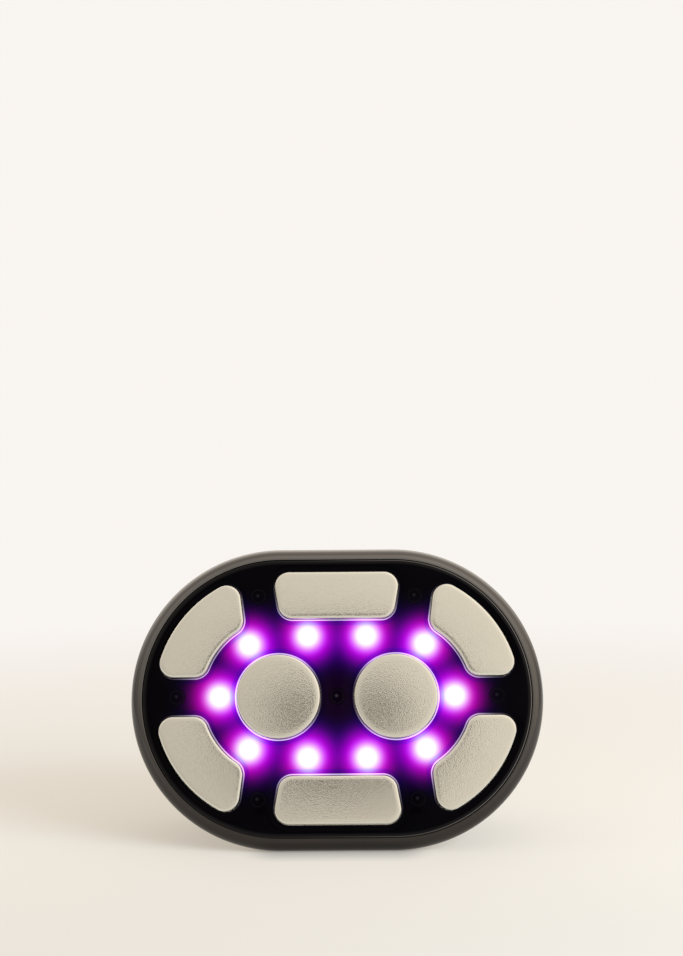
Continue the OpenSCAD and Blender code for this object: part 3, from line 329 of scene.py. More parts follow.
def side_r(depth, inset=0):
    """Radius of the drafted side wall at a depth, inset by a wall's thickness."""
    return (side_line - inset - depth * math.sin(LEAN)) / math.cos(LEAN)


def section_turn(centre, radius, start, end, steps):
    """An arc of a wall's section, as radius and depth, with angles from the side to the face."""
    return [(r, -w) for r, w in turn_points((centre[0], -centre[1]), radius, start, end, steps)]


def fine_group(name, inputs, outputs):
    """An empty shader node group with these sockets, given as name and kind."""
    group = bpy.data.node_groups.new(name, "ShaderNodeTree")
    for way, sockets in (("INPUT", inputs), ("OUTPUT", outputs)):
        for label, kind in sockets:
            group.interface.new_socket(label, in_out=way, socket_type="NodeSocket" + kind)
    return group, group.nodes.new("NodeGroupInput"), group.nodes.new("NodeGroupOutput")


# Moulded grain: fine speckle and slow drift of colour and gloss over a moulded or blasted skin.
SPECKLE, DRIFT = (0.35, 0.68), (0.35, 0.65)
DRIFT_SCALE = 0.06
grain, enter, leave = fine_group(
    "moulded_grain",
    [("Size", "Float"), ("Base", "Color"), ("Deep", "Color"), ("Gloss", "Float"), ("Spread", "Float")],
    [("Color", "Color"), ("Roughness", "Float"), ("Height", "Float")],
)
own = named_nodes(grain, place="TexCoord", fine="TexNoise", slow="TexNoise", mix="Mix")
scaled = vector_node(grain, "SCALE", own["place"].outputs["Object"], scale=1000)
per_size = math_node(grain, "DIVIDE", 1.0, enter.outputs["Size"])
grain.links.new(scaled, own["fine"].inputs["Vector"])
grain.links.new(scaled, own["slow"].inputs["Vector"])
grain.links.new(per_size, own["fine"].inputs["Scale"])
set_inputs(own["fine"], {"Detail": 3})
set_inputs(own["slow"], {"Scale": DRIFT_SCALE, "Detail": 4})
speckle = smooth_step(grain, own["fine"].outputs["Fac"], *SPECKLE)
drift = smooth_step(grain, own["slow"].outputs["Fac"], *DRIFT)
both = product(grain, math_node(grain, "ADD", drift, speckle), 0.5)
own["mix"].data_type = "RGBA"
grain.links.new(both, own["mix"].inputs["Factor"])
grain.links.new(enter.outputs["Base"], own["mix"].inputs["A"])
grain.links.new(enter.outputs["Deep"], own["mix"].inputs["B"])
grain.links.new(own["mix"].outputs["Result"], leave.inputs["Color"])
swing = product(grain, math_node(grain, "SUBTRACT", both, 0.5), enter.outputs["Spread"])
grain.links.new(math_node(grain, "ADD", swing, enter.outputs["Gloss"]), leave.inputs["Roughness"])
grain.links.new(own["fine"].outputs["Fac"], leave.inputs["Height"])


def grained(name, base, deep, roughness, spread=0.1, size=0.4, bump=0.2, depth=0.05, **fixed):
    """A finish with moulded grain: two close colours, a roughness that drifts and a fine bump."""
    finish, tree, skin = new_finish(name)
    group = tree.nodes.new("ShaderNodeGroup")
    group.node_tree = grain
    set_inputs(group, {"Size": size, "Base": (*base, 1), "Deep": (*deep, 1)})
    set_inputs(group, {"Gloss": roughness, "Spread": spread})
    relief = tree.nodes.new("ShaderNodeBump")
    set_inputs(relief, {"Strength": bump, "Distance": depth / 1000})
    tree.links.new(group.outputs["Color"], skin.inputs["Base Color"])
    tree.links.new(group.outputs["Roughness"], skin.inputs["Roughness"])
    tree.links.new(group.outputs["Height"], relief.inputs["Height"])
    tree.links.new(relief.outputs["Normal"], skin.inputs["Normal"])
    set_inputs(skin, {name.replace("_", " "): value for name, value in fixed.items()})
    return finish


gloss_black = grained(
    "gloss_black", (0.0075, 0.0052, 0.0038), (0.0055, 0.0040, 0.0030), 0.11, spread=0.05, size=6,
    bump=0.02, IOR=1.45, Specular_Tint=(1.0, 0.95, 0.90, 1), Coat_IOR=2.0, Coat_Roughness=0.07,
)


def face_measures(tree):
    """Sockets with a place on the face, part by part, and its distance from the middle line."""
    own = named_nodes(tree, place="Attribute", split="SeparateXYZ", turn="CombineXYZ")
    own["place"].attribute_name = "face_place"
    tree.links.new(own["place"].outputs["Vector"], own["split"].inputs[0])
    split = own["split"].outputs
    past_end = math_node(tree, "SUBTRACT", math_node(tree, "ABSOLUTE", split["X"]), HALF)
    tree.links.new(math_node(tree, "MAXIMUM", past_end, 0.0), own["turn"].inputs["X"])
    tree.links.new(split["Y"], own["turn"].inputs["Y"])
    return split, vector_node(tree, "LENGTH", own["turn"].outputs["Vector"])


# Its coat's weight is painted by place to shape its reflections: fullest on the inner lip, a painted
# highlight there, and weaker low down, to the right and over the walls, painted shade in them.
LIP = (41.0, 41.65, 1.0, 0.54)
HIGH_UP = (-48.0, 30.0)
NEAR_FACE = (-9.0, -3.5)
RIGHT_END = (30.0, 60.0, 1.0, 0.82)
tree = gloss_black.node_tree
(across, up, out), from_middle = face_measures(tree)
# Painted highlight on the lip and painted shade low down, to the right and on the walls.
painted_coat_weight = product(
    tree,
    smooth_step(tree, from_middle, *LIP),
    smooth_step(tree, up, *HIGH_UP),
    smooth_step(tree, out, *NEAR_FACE),
    smooth_step(tree, across, *RIGHT_END),
)
tree.links.new(painted_coat_weight, tree.nodes["Principled BSDF"].inputs["Coat Weight"])

rim_end = math.degrees(math.acos((RECESS_R + EDGE - RIM_C) / RIM_R))
rim_drop = RIM_R - RIM_R * math.sin(math.radians(rim_end))
front_section = (
    [(side_r(SPLIT_T) - EDGE, SPLIT_T), (side_r(SPLIT_T - EDGE), SPLIT_T - EDGE)]
    + section_turn((RIM_C, RIM_R), RIM_R, -LEAN_DEGREES, rim_end, 24)
    + section_turn((RECESS_R + EDGE, rim_drop + EDGE), EDGE, 90, 180, 4)[1:]
    + [(RECESS_R, RECESS_T), (LEDGE_R, RECESS_T), (LEDGE_R, LEDGE_T)]
    + [(side_r(LEDGE_T, WALL), LEDGE_T), (side_r(SPLIT_T, WALL), SPLIT_T)]
)
loops = [stadium_loop(r, t) for r, t in front_section]
bezel = solid("bezel_and_front_shell", sum(loops, []), bridge(loops, closed=True), gloss_black)
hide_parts("front_housing")
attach(bezel, "case")

# Case gasket
# A black rubber cord, moulded to the outline of the case. The screws squeeze it in the joint
# between the two halves, where it shows as a fine dark line.
GASKET_T, GASKET_BULGE = 0.6, 0.1
rubber_black = grained(
    "rubber_black", (0.02, 0.02, 0.021), (0.012, 0.012, 0.013), 0.75, size=0.3, bump=0.4
)
outer = ((SPLIT_T, 0), (SPLIT_T + GASKET_T / 2, GASKET_BULGE), (SPLIT_T + GASKET_T, 0))
gasket_section = [(side_r(t) - EDGE + bulge, t) for t, bulge in outer]
gasket_section += [(side_r(SPLIT_T, WALL / 2), t) for t in (SPLIT_T + GASKET_T, SPLIT_T)]
loops = [stadium_loop(r, t) for r, t in gasket_section]
seam = solid("seam_gasket", sum(loops, []), bridge(loops, closed=True), rubber_black)
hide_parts("case_gasket")
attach(seam, "case")

# Rear housing
# The satin black rear half: drafted walls, a soft back corner and a seat for the palm cover.
# The charging socket's mouth is cut through its right-hand end, in a shallow dish.
BACK_R = 9.0
DOME_R = 130.0
BODY_T = 49.98
SEAT_T, REAR_INNER_T = 45.2, 43.3
COVER_R = 29.1
COVER_GAP = 0.1
PANEL_R, PANEL_HALF, PANEL_RIM = 11.0, 18.0, 1.3
DOME_STEPS = 10
dome_t = BODY_T - DOME_R
# The back corner is an arc that touches the drafted wall and the dome.
corner_line = side_line - BACK_R
middle = corner_line * math.sin(LEAN) + math.cos(LEAN) ** 2 * dome_t
rest = corner_line**2 + math.cos(LEAN) ** 2 * (dome_t**2 - (DOME_R - BACK_R) ** 2)
corner_t = middle + math.sqrt(middle**2 - rest)
corner_c = (corner_line - corner_t * math.sin(LEAN)) / math.cos(LEAN)
dome_turn = math.degrees(math.atan2(corner_t - dome_t, corner_c))


def dome_depth(r):
    """Depth of the domed back at a distance from the middle line."""
    return dome_t + math.sqrt(DOME_R**2 - r**2)


def shifted(faces, start):
    """The same faces, on points that stand further on in a row."""
    return [tuple(start + i for i in face) for face in faces]


def filled(loop, holes):
    """Triangles that fill a loop round its holes, as indexes into all their points in a row."""
    rings, points = [], []
    for ring in [loop] + holes:
        flat = [Vector(p[:2]) for p in ring]
        turn = sum(a.cross(b) for a, b in zip(flat, flat[1:] + flat[:1]))
        rings.append(list(range(len(points), len(points) + len(ring)))[:: 1 if turn > 0 else -1])
        points += flat
    _, _, faces, merged, _, parts = delaunay_2d_cdt(points, [], rings, 1, 1e-5)
    return [tuple(merged[i][0] for i in face) for face, part in zip(faces, parts) if part == [0]]


satin_black = grained(
    "satin_black", (0.018, 0.017, 0.0165), (0.012, 0.011, 0.0105), 0.42, size=0.25, bump=0.35, depth=0.03
)
inner_turn = math.degrees(math.asin((REAR_INNER_T - corner_t) / (BACK_R - WALL)))
seat_r = COVER_R + COVER_GAP
rear_t = SPLIT_T + GASKET_T
rear_section = (
    section_turn((corner_c, corner_t), BACK_R - WALL, -inner_turn, -LEAN_DEGREES, 8)
    + [(side_r(rear_t, WALL), rear_t), (side_r(rear_t) - EDGE, rear_t)]
    + [(side_r(rear_t + EDGE), rear_t + EDGE)]
    + section_turn((corner_c, corner_t), BACK_R, -LEAN_DEGREES, -dome_turn, 20)
)
corner_r = rear_section[-1][0]
across_dome = [corner_r + (seat_r + EDGE - corner_r) * i / DOME_STEPS for i in range(1, DOME_STEPS + 1)]
rear_section += [(r, dome_depth(r)) for r in across_dome]
rear_section += [(seat_r, dome_depth(seat_r) - EDGE), (seat_r, SEAT_T)]
loops = [stadium_loop(r, t) for r, t in rear_section]
opening = [stadium_loop(PANEL_R - PANEL_RIM, t, PANEL_HALF) for t in (SEAT_T, REAR_INNER_T)]
count = len(loops[0])
opening_start = len(loops) * count
points = sum(loops + opening, [])
faces = bridge(loops) + shifted(filled(loops[-1], opening[:1]), opening_start - count)
inner_face = filled(loops[0], opening[1:])
faces += [tuple(i if i < count else opening_start + i for i in face) for face in inner_face]
faces += shifted(bridge(opening), opening_start)

SOCKET_T = 30.0
SOCKET_HALF_W, SOCKET_HALF_H = 4.5, 1.6
SOCKET_GAP, MOUTH_IN = 0.4, 1.2
DISH, DISH_EDGE, MOUTH_EDGE = 1.4, 0.3, 0.15
CUT_IN, CUT_OUT = 4, 3
mouth_u = HALF + side_r(SOCKET_T) - MOUTH_IN


def obround_loop(grow, u, steps=12):
    """The socket's obround outline, grown by a margin, across the right-hand end."""
    radius = SOCKET_HALF_H + grow
    straight = SOCKET_HALF_W - SOCKET_HALF_H
    right = turn_points((straight, 0), radius, -90, 90, steps)
    return [(u, v, w - SOCKET_T) for v, w in right + [(-v, -w) for v, w in right]]


def end_caps(loops):
    """The faces that close the two ends of a tube of loops."""
    rim = tuple(range(len(loops[0])))
    return [rim] + shifted([rim], (len(loops) - 1) * len(rim))


cut_section = [
    (0, -CUT_IN), (0, -MOUTH_EDGE), (MOUTH_EDGE, 0),
    (DISH - DISH_EDGE, 0), (DISH, DISH_EDGE), (DISH + DISH_EDGE, CUT_OUT),
]
loops = [obround_loop(SOCKET_GAP + grow, mouth_u + u) for grow, u in cut_section]
cutter = solid("socket_cutter", sum(loops, []), bridge(loops) + end_caps(loops))
back_shell = solid("rear_shell", points, faces, satin_black)
cut = back_shell.modifiers.new("socket_mouth", "BOOLEAN")
cut.object = cutter
cut.solver = "EXACT"
bpy.context.view_layer.update()
shape = back_shell.evaluated_get(bpy.context.evaluated_depsgraph_get())
whole = bpy.data.meshes.new_from_object(shape)
back_shell.modifiers.clear()
back_shell.data = whole
whole.set_sharp_from_angle(angle=math.radians(SHARP))
bpy.data.objects.remove(cutter)
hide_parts("rear_housing")
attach(back_shell, "case")

# Palm cover
# The soft-touch cap that the palm rests on, over the screws. It follows the domed back and
# has an opening with a rounded edge for the control panel.
soft_touch = grained(
    "soft_touch", (0.034, 0.031, 0.030), (0.022, 0.020, 0.019), 0.62, spread=0.14, size=0.22,
    bump=0.5, depth=0.04, Sheen_Weight=0.25, Sheen_Roughness=0.5,
)
COVER_T = 2.0
COVER_EDGE, COVER_SHOULDER = EDGE * 1.3, EDGE * 0.4
COVER_STEPS = 14
# A small round edge has one place between its ends, this share of its size from both sides.
MID_ROUND = 0.3
OPENING_R = PANEL_R + COVER_GAP
rim_loop = stadium_loop(COVER_R, 0)
hole_loop = stadium_loop(OPENING_R, 0, PANEL_HALF)


def cover_loop(share, drop, flat=None):
    """A loop part of the way from the cover's rim to its opening, that far under the dome."""
    loop = []
    for (u0, v0, _), (u1, v1, _) in zip(rim_loop, hole_loop):
        u, v = u0 + (u1 - u0) * share, v0 + (v1 - v0) * share
        r = math.hypot(max(abs(u) - HALF, 0), v)
        loop.append((u, v, -(dome_depth(r) - drop if flat is None else flat)))
    return loop


width = COVER_R - OPENING_R
edge_share, wall_share = COVER_EDGE / width, COVER_T / width
shares = [edge_share + (1 - 2 * edge_share) * i / COVER_STEPS for i in range(COVER_STEPS + 1)]
loops = [
    cover_loop(0, 0, SEAT_T),
    cover_loop(0, COVER_EDGE),
    cover_loop(edge_share * MID_ROUND, COVER_SHOULDER),
    *[cover_loop(share, 0) for share in shares],
    cover_loop(1 - edge_share * MID_ROUND, COVER_SHOULDER),
    cover_loop(1, COVER_EDGE),
    cover_loop(1, COVER_T),
    cover_loop(wall_share, COVER_T),
    cover_loop(wall_share, 0, SEAT_T),
]
palm = solid("palm_cap", sum(loops, []), bridge(loops, closed=True), soft_touch)
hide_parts("palm_cover")
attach(palm, "case")

# Control panel
# A glossy black moulded plate, let into the palm cover and drilled for four buttons and five
# level lights. Its inner side holds the buttons back by their flanges.
PANEL_OUT_T, PANEL_IN_T = 49.2, 47.4
BUTTON_GAP = 0.1
LIGHT_R = 0.75
LEVEL_V, LEVEL_STEP, LEVELS = 7.95, 4.0, range(-2, 3)
HOLE_BEVEL = 0.2
BIG_R, SMALL_R = 5.5, 4.5
low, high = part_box("mode_button")
BIG_U = (low.x + high.x) * 500
low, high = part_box("plus_button")
SMALL_U = (low.x + high.x) * 500
holes = [(-BIG_U, 0, BIG_R), (-SMALL_U, 0, SMALL_R), (SMALL_U, 0, SMALL_R), (BIG_U, 0, BIG_R)]
holes = [(u, v, r + BUTTON_GAP) for u, v, r in holes]
holes += [(i * LEVEL_STEP, LEVEL_V, LIGHT_R + BUTTON_GAP) for i in LEVELS]


def round_loop(centre, radius, depth, steps=56):
    """A circle on the face or the back, at a depth."""
    return [(u, v, -depth) for u, v in turn_points(centre, radius, 0, 360, steps)[:-1]]


def drilled_plate(outer, holes):
    """Points and faces of a plate between two fills. outer and each hole are lists of loops
    that run from the front fill to the back one."""
    points, faces, front, back = [], [], [], []
    for loops in [outer] + holes:
        start, count = len(points), len(loops[0])
        faces += shifted(bridge(loops), start)
        points += sum(loops, [])
        front += range(start, start + count)
        back += range(len(points) - count, len(points))
    for end, index in ((0, front), (-1, back)):
        fill = filled(outer[end], [loops[end] for loops in holes])
        faces += [tuple(index[i] for i in face) for face in fill]
    return points, faces


mid_edge = (EDGE * MID_ROUND, EDGE * MID_ROUND)
plate_edge = ((EDGE, 0), mid_edge, (0, EDGE), (0, PANEL_OUT_T - PANEL_IN_T))
outer = [stadium_loop(PANEL_R - inset, PANEL_OUT_T - drop, PANEL_HALF) for inset, drop in plate_edge]
hole_edge = ((HOLE_BEVEL, PANEL_OUT_T), (0, PANEL_OUT_T - HOLE_BEVEL), (0, PANEL_IN_T))
drilled = [[round_loop((u, v), r + grow, t) for grow, t in hole_edge] for u, v, r in holes]
points, faces = drilled_plate(outer, drilled)
panel = solid("button_panel", points, faces, gloss_black)
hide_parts("control_panel")
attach(panel, "case")

# Buttons
# Turned aluminium caps, anodised champagne, with a dished top and a flange behind the panel.
# Each carries a printed sign: power, minus, plus and mode.
BUTTON_OUT_T, BUTTON_IN_T = 50.0, 46.4
FLANGE, CAP_EDGE = 1.0, 0.35
SIGN_T, SIGN_H, SIGN_ROOT = BUTTON_OUT_T - 0.35, 0.06, 0.05
STROKE, BOLD_STROKE = 0.5, 0.55
POWER_R, POWER_GAP_ENDS, POWER_BAR, POWER_RISE = 1.9, (125, 415), 1.5, 1.7
MINUS_LENGTH, PLUS_LENGTH = 2.6, 3.1
MODE_BARS = ((1.2, 2.0), (0, 3.0), (-1.2, 2.0))
button_metal = grained(
    "button_metal", (0.60, 0.545, 0.45), (0.50, 0.45, 0.365), 0.30, size=0.12, bump=0.3,
    depth=0.02, Metallic=1.0,
)
sign_ink = grained("sign_ink", (0.03, 0.027, 0.025), (0.018, 0.016, 0.015), 0.5, size=0.1, bump=0.2)


def bar_sign(length, width, turn=0):
    """A straight stroke with round ends, as a loop round its outline."""
    right = turn_points((length / 2, 0), width / 2, -90, 90, 8)
    loop = right + [(-u, -v) for u, v in right]
    c, s = math.cos(math.radians(turn)), math.sin(math.radians(turn))
    return [(u * c - v * s, u * s + v * c) for u, v in loop]


def arc_sign(radius, width, start, end):
    """A curved stroke with round ends."""
    outer = turn_points((0, 0), radius + width / 2, start, end, 24)
    inner = turn_points((0, 0), radius - width / 2, end, start, 24)
    tip = turn_points((0, 0), radius, start, end, 1)
    cap = turn_points(tip[1], width / 2, end, end + 180, 6)[1:-1]
    foot = turn_points(tip[0], width / 2, start + 180, start + 360, 6)[1:-1]
    return outer + cap + inner + foot


def plus_sign(length, width):
    """A plus as one outline."""
    a, b = length / 2, width / 2
    quarter = [(a, -b), (a, b), (b, b)]
    half = quarter + [(-v, u) for u, v in quarter]
    return half + [(-u, -v) for u, v in half]


power_bar = [(u, v + POWER_RISE) for u, v in bar_sign(POWER_BAR, STROKE, 90)]
signs = {
    "power": [arc_sign(POWER_R, STROKE, *POWER_GAP_ENDS), power_bar],
    "minus": [bar_sign(MINUS_LENGTH, BOLD_STROKE)],
    "plus": [plus_sign(PLUS_LENGTH, BOLD_STROKE)],
    "mode": [[(u, v + rise) for u, v in bar_sign(length, STROKE)] for rise, length in MODE_BARS],
}
middles = {
    "power": (-BIG_U, BIG_R), "minus": (-SMALL_U, SMALL_R),
    "plus": (SMALL_U, SMALL_R), "mode": (BIG_U, BIG_R),
}
# The dish in a cap's top, as how far each place is in from the side and down from the rim.
dish = ((0.9, 0), (1.15, 0.05), (1.4, 0.25), (1.8, BUTTON_OUT_T - SIGN_T))
for name, (u, r) in middles.items():
    section = [(r + FLANGE, BUTTON_IN_T), (r + FLANGE, PANEL_IN_T), (r, PANEL_IN_T)]
    section += section_turn((r - CAP_EDGE, BUTTON_OUT_T - CAP_EDGE), CAP_EDGE, 0, -90, 6)
    section += [(r - inset, BUTTON_OUT_T - drop) for inset, drop in dish]
    loops = [round_loop((u, 0), radius, t) for radius, t in section]
    faces = bridge(loops) + end_caps(loops)
    cap = solid(name + "_cap", sum(loops, []), faces, button_metal, sharp=50)
    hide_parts(name + "_button")
    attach(cap, name + "_key")
    points, faces = [], []
    for loop in signs[name]:
        # Seen from behind, right is left, so each sign is turned over.
        layers = [[(u - x, y, -t) for x, y in loop] for t in (SIGN_T - SIGN_ROOT, SIGN_T + SIGN_H)]
        start = len(points)
        points += sum(layers, [])
        faces += shifted(bridge(layers), start)
        for layer, outline in enumerate(layers):
            faces += shifted(filled(outline, []), start + layer * len(loop))
    sign = solid(name + "_sign", points, faces, sign_ink)
    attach(sign, name + "_key")

# Level lights
# Five clear moulded light guides, domed where they stand flush with the panel. They lead the
# light of the control board outwards, and three of them are lit.
GUIDE_R, GUIDE_IN_T, GUIDE_OUT_T, GUIDE_DOME = 0.70, 41.4, 48.9, 0.3
DOME_TURNS = (0.4, 0.8, 1.15, 1.4)
guide_dark = grained("guide_dark", (0.10, 0.10, 0.11), (0.07, 0.07, 0.08), 0.25, size=0.3)
guide_lit = grained(
    "guide_lit", (0.92, 0.93, 1.0), (0.85, 0.86, 1.0), 0.2, size=0.3,
    Emission_Color=(0.85, 0.88, 1, 1), Emission_Strength=1.6,
)
guide_section = [(GUIDE_R, GUIDE_IN_T), (GUIDE_R, GUIDE_OUT_T)]
guide_section += [
    (GUIDE_R * math.cos(turn), GUIDE_OUT_T + GUIDE_DOME * math.sin(turn)) for turn in DOME_TURNS
]
points, kind_of = [], {}
for i in LEVELS:
    loops = [round_loop((i * LEVEL_STEP, LEVEL_V), r, t, 24) for r, t in guide_section]
    for face in shifted(bridge(loops) + end_caps(loops), len(points)):
        kind_of[face] = 0 if i < 0 else 1
    points += sum(loops, [])
guides = solid("level_guides", points, list(kind_of), guide_dark, guide_lit, finish_of=kind_of.get)
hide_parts("level_lights")
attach(guides, "case")

# Charging socket
# A drawn steel shell with a black moulded tongue and two rows of gold contacts. It sits on the
# charge board, behind the mouth in the right-hand end.
SHELL, SHELL_EDGE, SHELL_LENGTH = 0.3, 0.1, 7.5
TONGUE_HALF_W, TONGUE_HALF_T, TONGUE_LENGTH = 3.3, 0.35, 6.7
CONTACT_STEP, CONTACT_HALF, CONTACT_H, CONTACT_BACK = 0.5, 0.14, 0.04, 0.5
CONTACTS = range(-5, 6)
FINE_EDGE = 0.08
socket_steel = grained(
    "socket_steel", (0.56, 0.56, 0.57), (0.44, 0.44, 0.45), 0.28, size=0.3, bump=0.15, Metallic=1.0
)
tongue_black = grained("tongue_black", (0.02, 0.02, 0.022), (0.012, 0.012, 0.013), 0.45, size=0.2)
contact_gold = grained(
    "contact_gold", (0.86, 0.64, 0.28), (0.70, 0.50, 0.20), 0.25, size=0.3, Metallic=1.0
)
tail_u = mouth_u - SHELL_LENGTH
front_u = tail_u + TONGUE_LENGTH
shell_section = [
    (0, tail_u), (0, mouth_u - SHELL_EDGE), (-SHELL_EDGE, mouth_u),
    (FINE_EDGE - SHELL, mouth_u), (-SHELL, mouth_u - SHELL_EDGE), (-SHELL, tail_u + SHELL),
]
loops = [obround_loop(grow, u) for grow, u in shell_section]
points = sum(loops, [])
kind_of = dict.fromkeys(bridge(loops) + end_caps(loops), 0)


def add_block(u, v, w, kind):
    """Adds a block between pairs of limits, with chamfered front edges."""
    layers = []
    for place, cut in ((u[0], 0), (u[1] - FINE_EDGE, 0), (u[1], FINE_EDGE)):
        low_v, high_v, low_w, high_w = v[0] + cut, v[1] - cut, w[0] + cut, w[1] - cut
        ends = ((low_v, low_w), (high_v, low_w), (high_v, high_w), (low_v, high_w))
        layers.append([(place, *end) for end in ends])
    for face in shifted(bridge(layers) + end_caps(layers), len(points)):
        kind_of[face] = kind
    points.extend(sum(layers, []))


tongue_faces = (-SOCKET_T - TONGUE_HALF_T, -SOCKET_T + TONGUE_HALF_T)
add_block((tail_u, front_u), (-TONGUE_HALF_W, TONGUE_HALF_W), tongue_faces, 1)
for i in CONTACTS:
    across = (i * CONTACT_STEP - CONTACT_HALF, i * CONTACT_STEP + CONTACT_HALF)
    for w in tongue_faces:
        add_block((tail_u + SHELL, front_u - CONTACT_BACK), across, (w - CONTACT_H, w + CONTACT_H), 2)
finishes = (socket_steel, tongue_black, contact_gold)
socket = solid("charge_socket", points, list(kind_of), *finishes, finish_of=kind_of.get)
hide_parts("charging_socket")
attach(socket, "case")

# Electrodes
# Eight blasted aluminium electrodes, anodised champagne: two discs, two bars and four corner
# pieces. Each is crowned, has a round shoulder and stands through the window from its flange.
pad_metal = grained(
    "pad_metal", (0.72, 0.715, 0.65), (0.69, 0.685, 0.62), 0.09, spread=0.04, size=0.34, bump=1.0,
    depth=0.019, Metallic=1.0,
)
DISC_H, RING_H, PAD_SHOULDER = 2.0, 1.58, 1.15
EDGE_FIRST, EDGE_TURN, EDGE_START, EDGE_BEND = 2.5, 60.0, 0.32, 1.7
SHOULDER_STEPS, CROWN_STEPS = 20, 12
DISC_CROWN, RING_CROWN, RING_LEAN = 0.16, 0.05, 0.006
PAD_CORNER_R = 4.2
FLANGE_T, FLANGE_UNDER_T, FLANGE_W, UNDER_INSET = 3.0, 4.2, 1.2, 0.5
RING_MARGIN, RING_W = 3.35, 14.0
RING_OUT = WINDOW_R - RING_MARGIN
RING_IN = RING_OUT - RING_W
RING_MID = (RING_OUT + RING_IN) / 2
REACH = RING_W / 2
DISC_R, DISC_U = 12.1, 17.0
BAR_HALF, BAR_SLOPE, BAR_LESS = 17.7, 10.3, 0.3
CORNER_V, CORNER_U, CORNER_U_V, CORNER_SLOPE = 5.6, 27.0, 20.9, 7.6
SPINE_LOW, SPINE_HIGH = 4, 6
END = Vector((HALF, 0))


def bar_side(v):
    """Sideways place of the centre of a bar electrode's corner, at a height."""
    slope = math.radians(BAR_SLOPE)
    return BAR_HALF + (v - RING_MID) * math.tan(slope) - PAD_CORNER_R / math.cos(slope)


def bar_outline(inset, steps=14):
    """Outline of the upper bar electrode, inset."""
    low_v, high_v = RING_IN + PAD_CORNER_R, RING_OUT - BAR_LESS - PAD_CORNER_R
    turns = [
        ((bar_side(low_v), low_v), -90, -BAR_SLOPE),
        ((bar_side(high_v), high_v), -BAR_SLOPE, 90),
        ((-bar_side(high_v), high_v), 90, 180 + BAR_SLOPE),
        ((-bar_side(low_v), low_v), 180 + BAR_SLOPE, 270),
    ]
    return sum((turn_points(c, PAD_CORNER_R - inset, a, b, steps) for c, a, b in turns), [])


side_in = Vector((math.cos(math.radians(CORNER_SLOPE)), -math.sin(math.radians(CORNER_SLOPE))))
side_up = Vector((-side_in.y, side_in.x))
side_foot = Vector((CORNER_U - HALF, CORNER_U_V)) + PAD_CORNER_R * side_in


def side_centre(r):
    """Centre of a corner round on the upright side, at a distance from the end's centre."""
    along = side_foot.dot(side_up)
    return side_foot + side_up * (-along + math.sqrt(along**2 - side_foot.length_squared + r * r))


def level_centre(r):
    """Centre of a corner round on the level side, at a distance from the end's centre."""
    v = CORNER_V + PAD_CORNER_R
    return Vector((math.sqrt(r * r - v * v), v))


def heading(p):
    """Direction of a place from the end's centre, in degrees."""
    return math.degrees(math.atan2(p.y, p.x))


low_out, low_in = level_centre(RING_OUT - PAD_CORNER_R), level_centre(RING_IN + PAD_CORNER_R)
high_out, high_in = side_centre(RING_OUT - PAD_CORNER_R), side_centre(RING_IN + PAD_CORNER_R)


def corner_outline(inset, steps=14):
    """Outline of the upper right corner electrode, inset."""
    r = PAD_CORNER_R - inset
    turns = [
        (END + low_out, r, -90, heading(low_out)),
        (END, RING_OUT - inset, heading(low_out), heading(high_out)),
        (END + high_out, r, heading(high_out), 180 - CORNER_SLOPE),
        (END + high_in, r, 180 - CORNER_SLOPE, heading(high_in) + 180),
        (END, RING_IN + inset, heading(high_in), heading(low_in)),
        (END + low_in, r, heading(low_in) + 180, 270),
    ]
    return sum((turn_points(c, radius, a, b, steps) for c, radius, a, b in turns), [])


def disc_outline(inset, steps=96):
    """Outline of the right disc electrode, inset."""
    return turn_points((DISC_U, 0), DISC_R - inset, 0, 360, steps)[:-1]


def to_spine(kind, point):
    """The nearest place on the middle line of an electrode."""
    u, v = point
    if kind == "disc":
        return (DISC_U, 0)
    if kind == "bar":
        end = BAR_HALF - REACH
        return (min(max(u, -end), end), RING_MID)
    near, far = heading(low_out) + SPINE_LOW, heading(high_out) - SPINE_HIGH
    turn = math.radians(min(max(math.degrees(math.atan2(v, u - HALF)), near), far))
    return (HALF + RING_MID * math.cos(turn), RING_MID * math.sin(turn))


def top_height(kind, u, v):
    """Height of an electrode's crowned top. The outer electrodes lean out from the middle."""
    if kind == "disc":
        return DISC_H - DISC_CROWN * (math.hypot(u - DISC_U, v) / DISC_R) ** 2
    out = v - RING_MID if kind == "bar" else math.hypot(u - HALF, v) - RING_MID
    return RING_H - RING_CROWN * (out / REACH) ** 2 - RING_LEAN * (out + REACH)


outlines = {"bar": bar_outline, "corner": corner_outline, "disc": disc_outline}


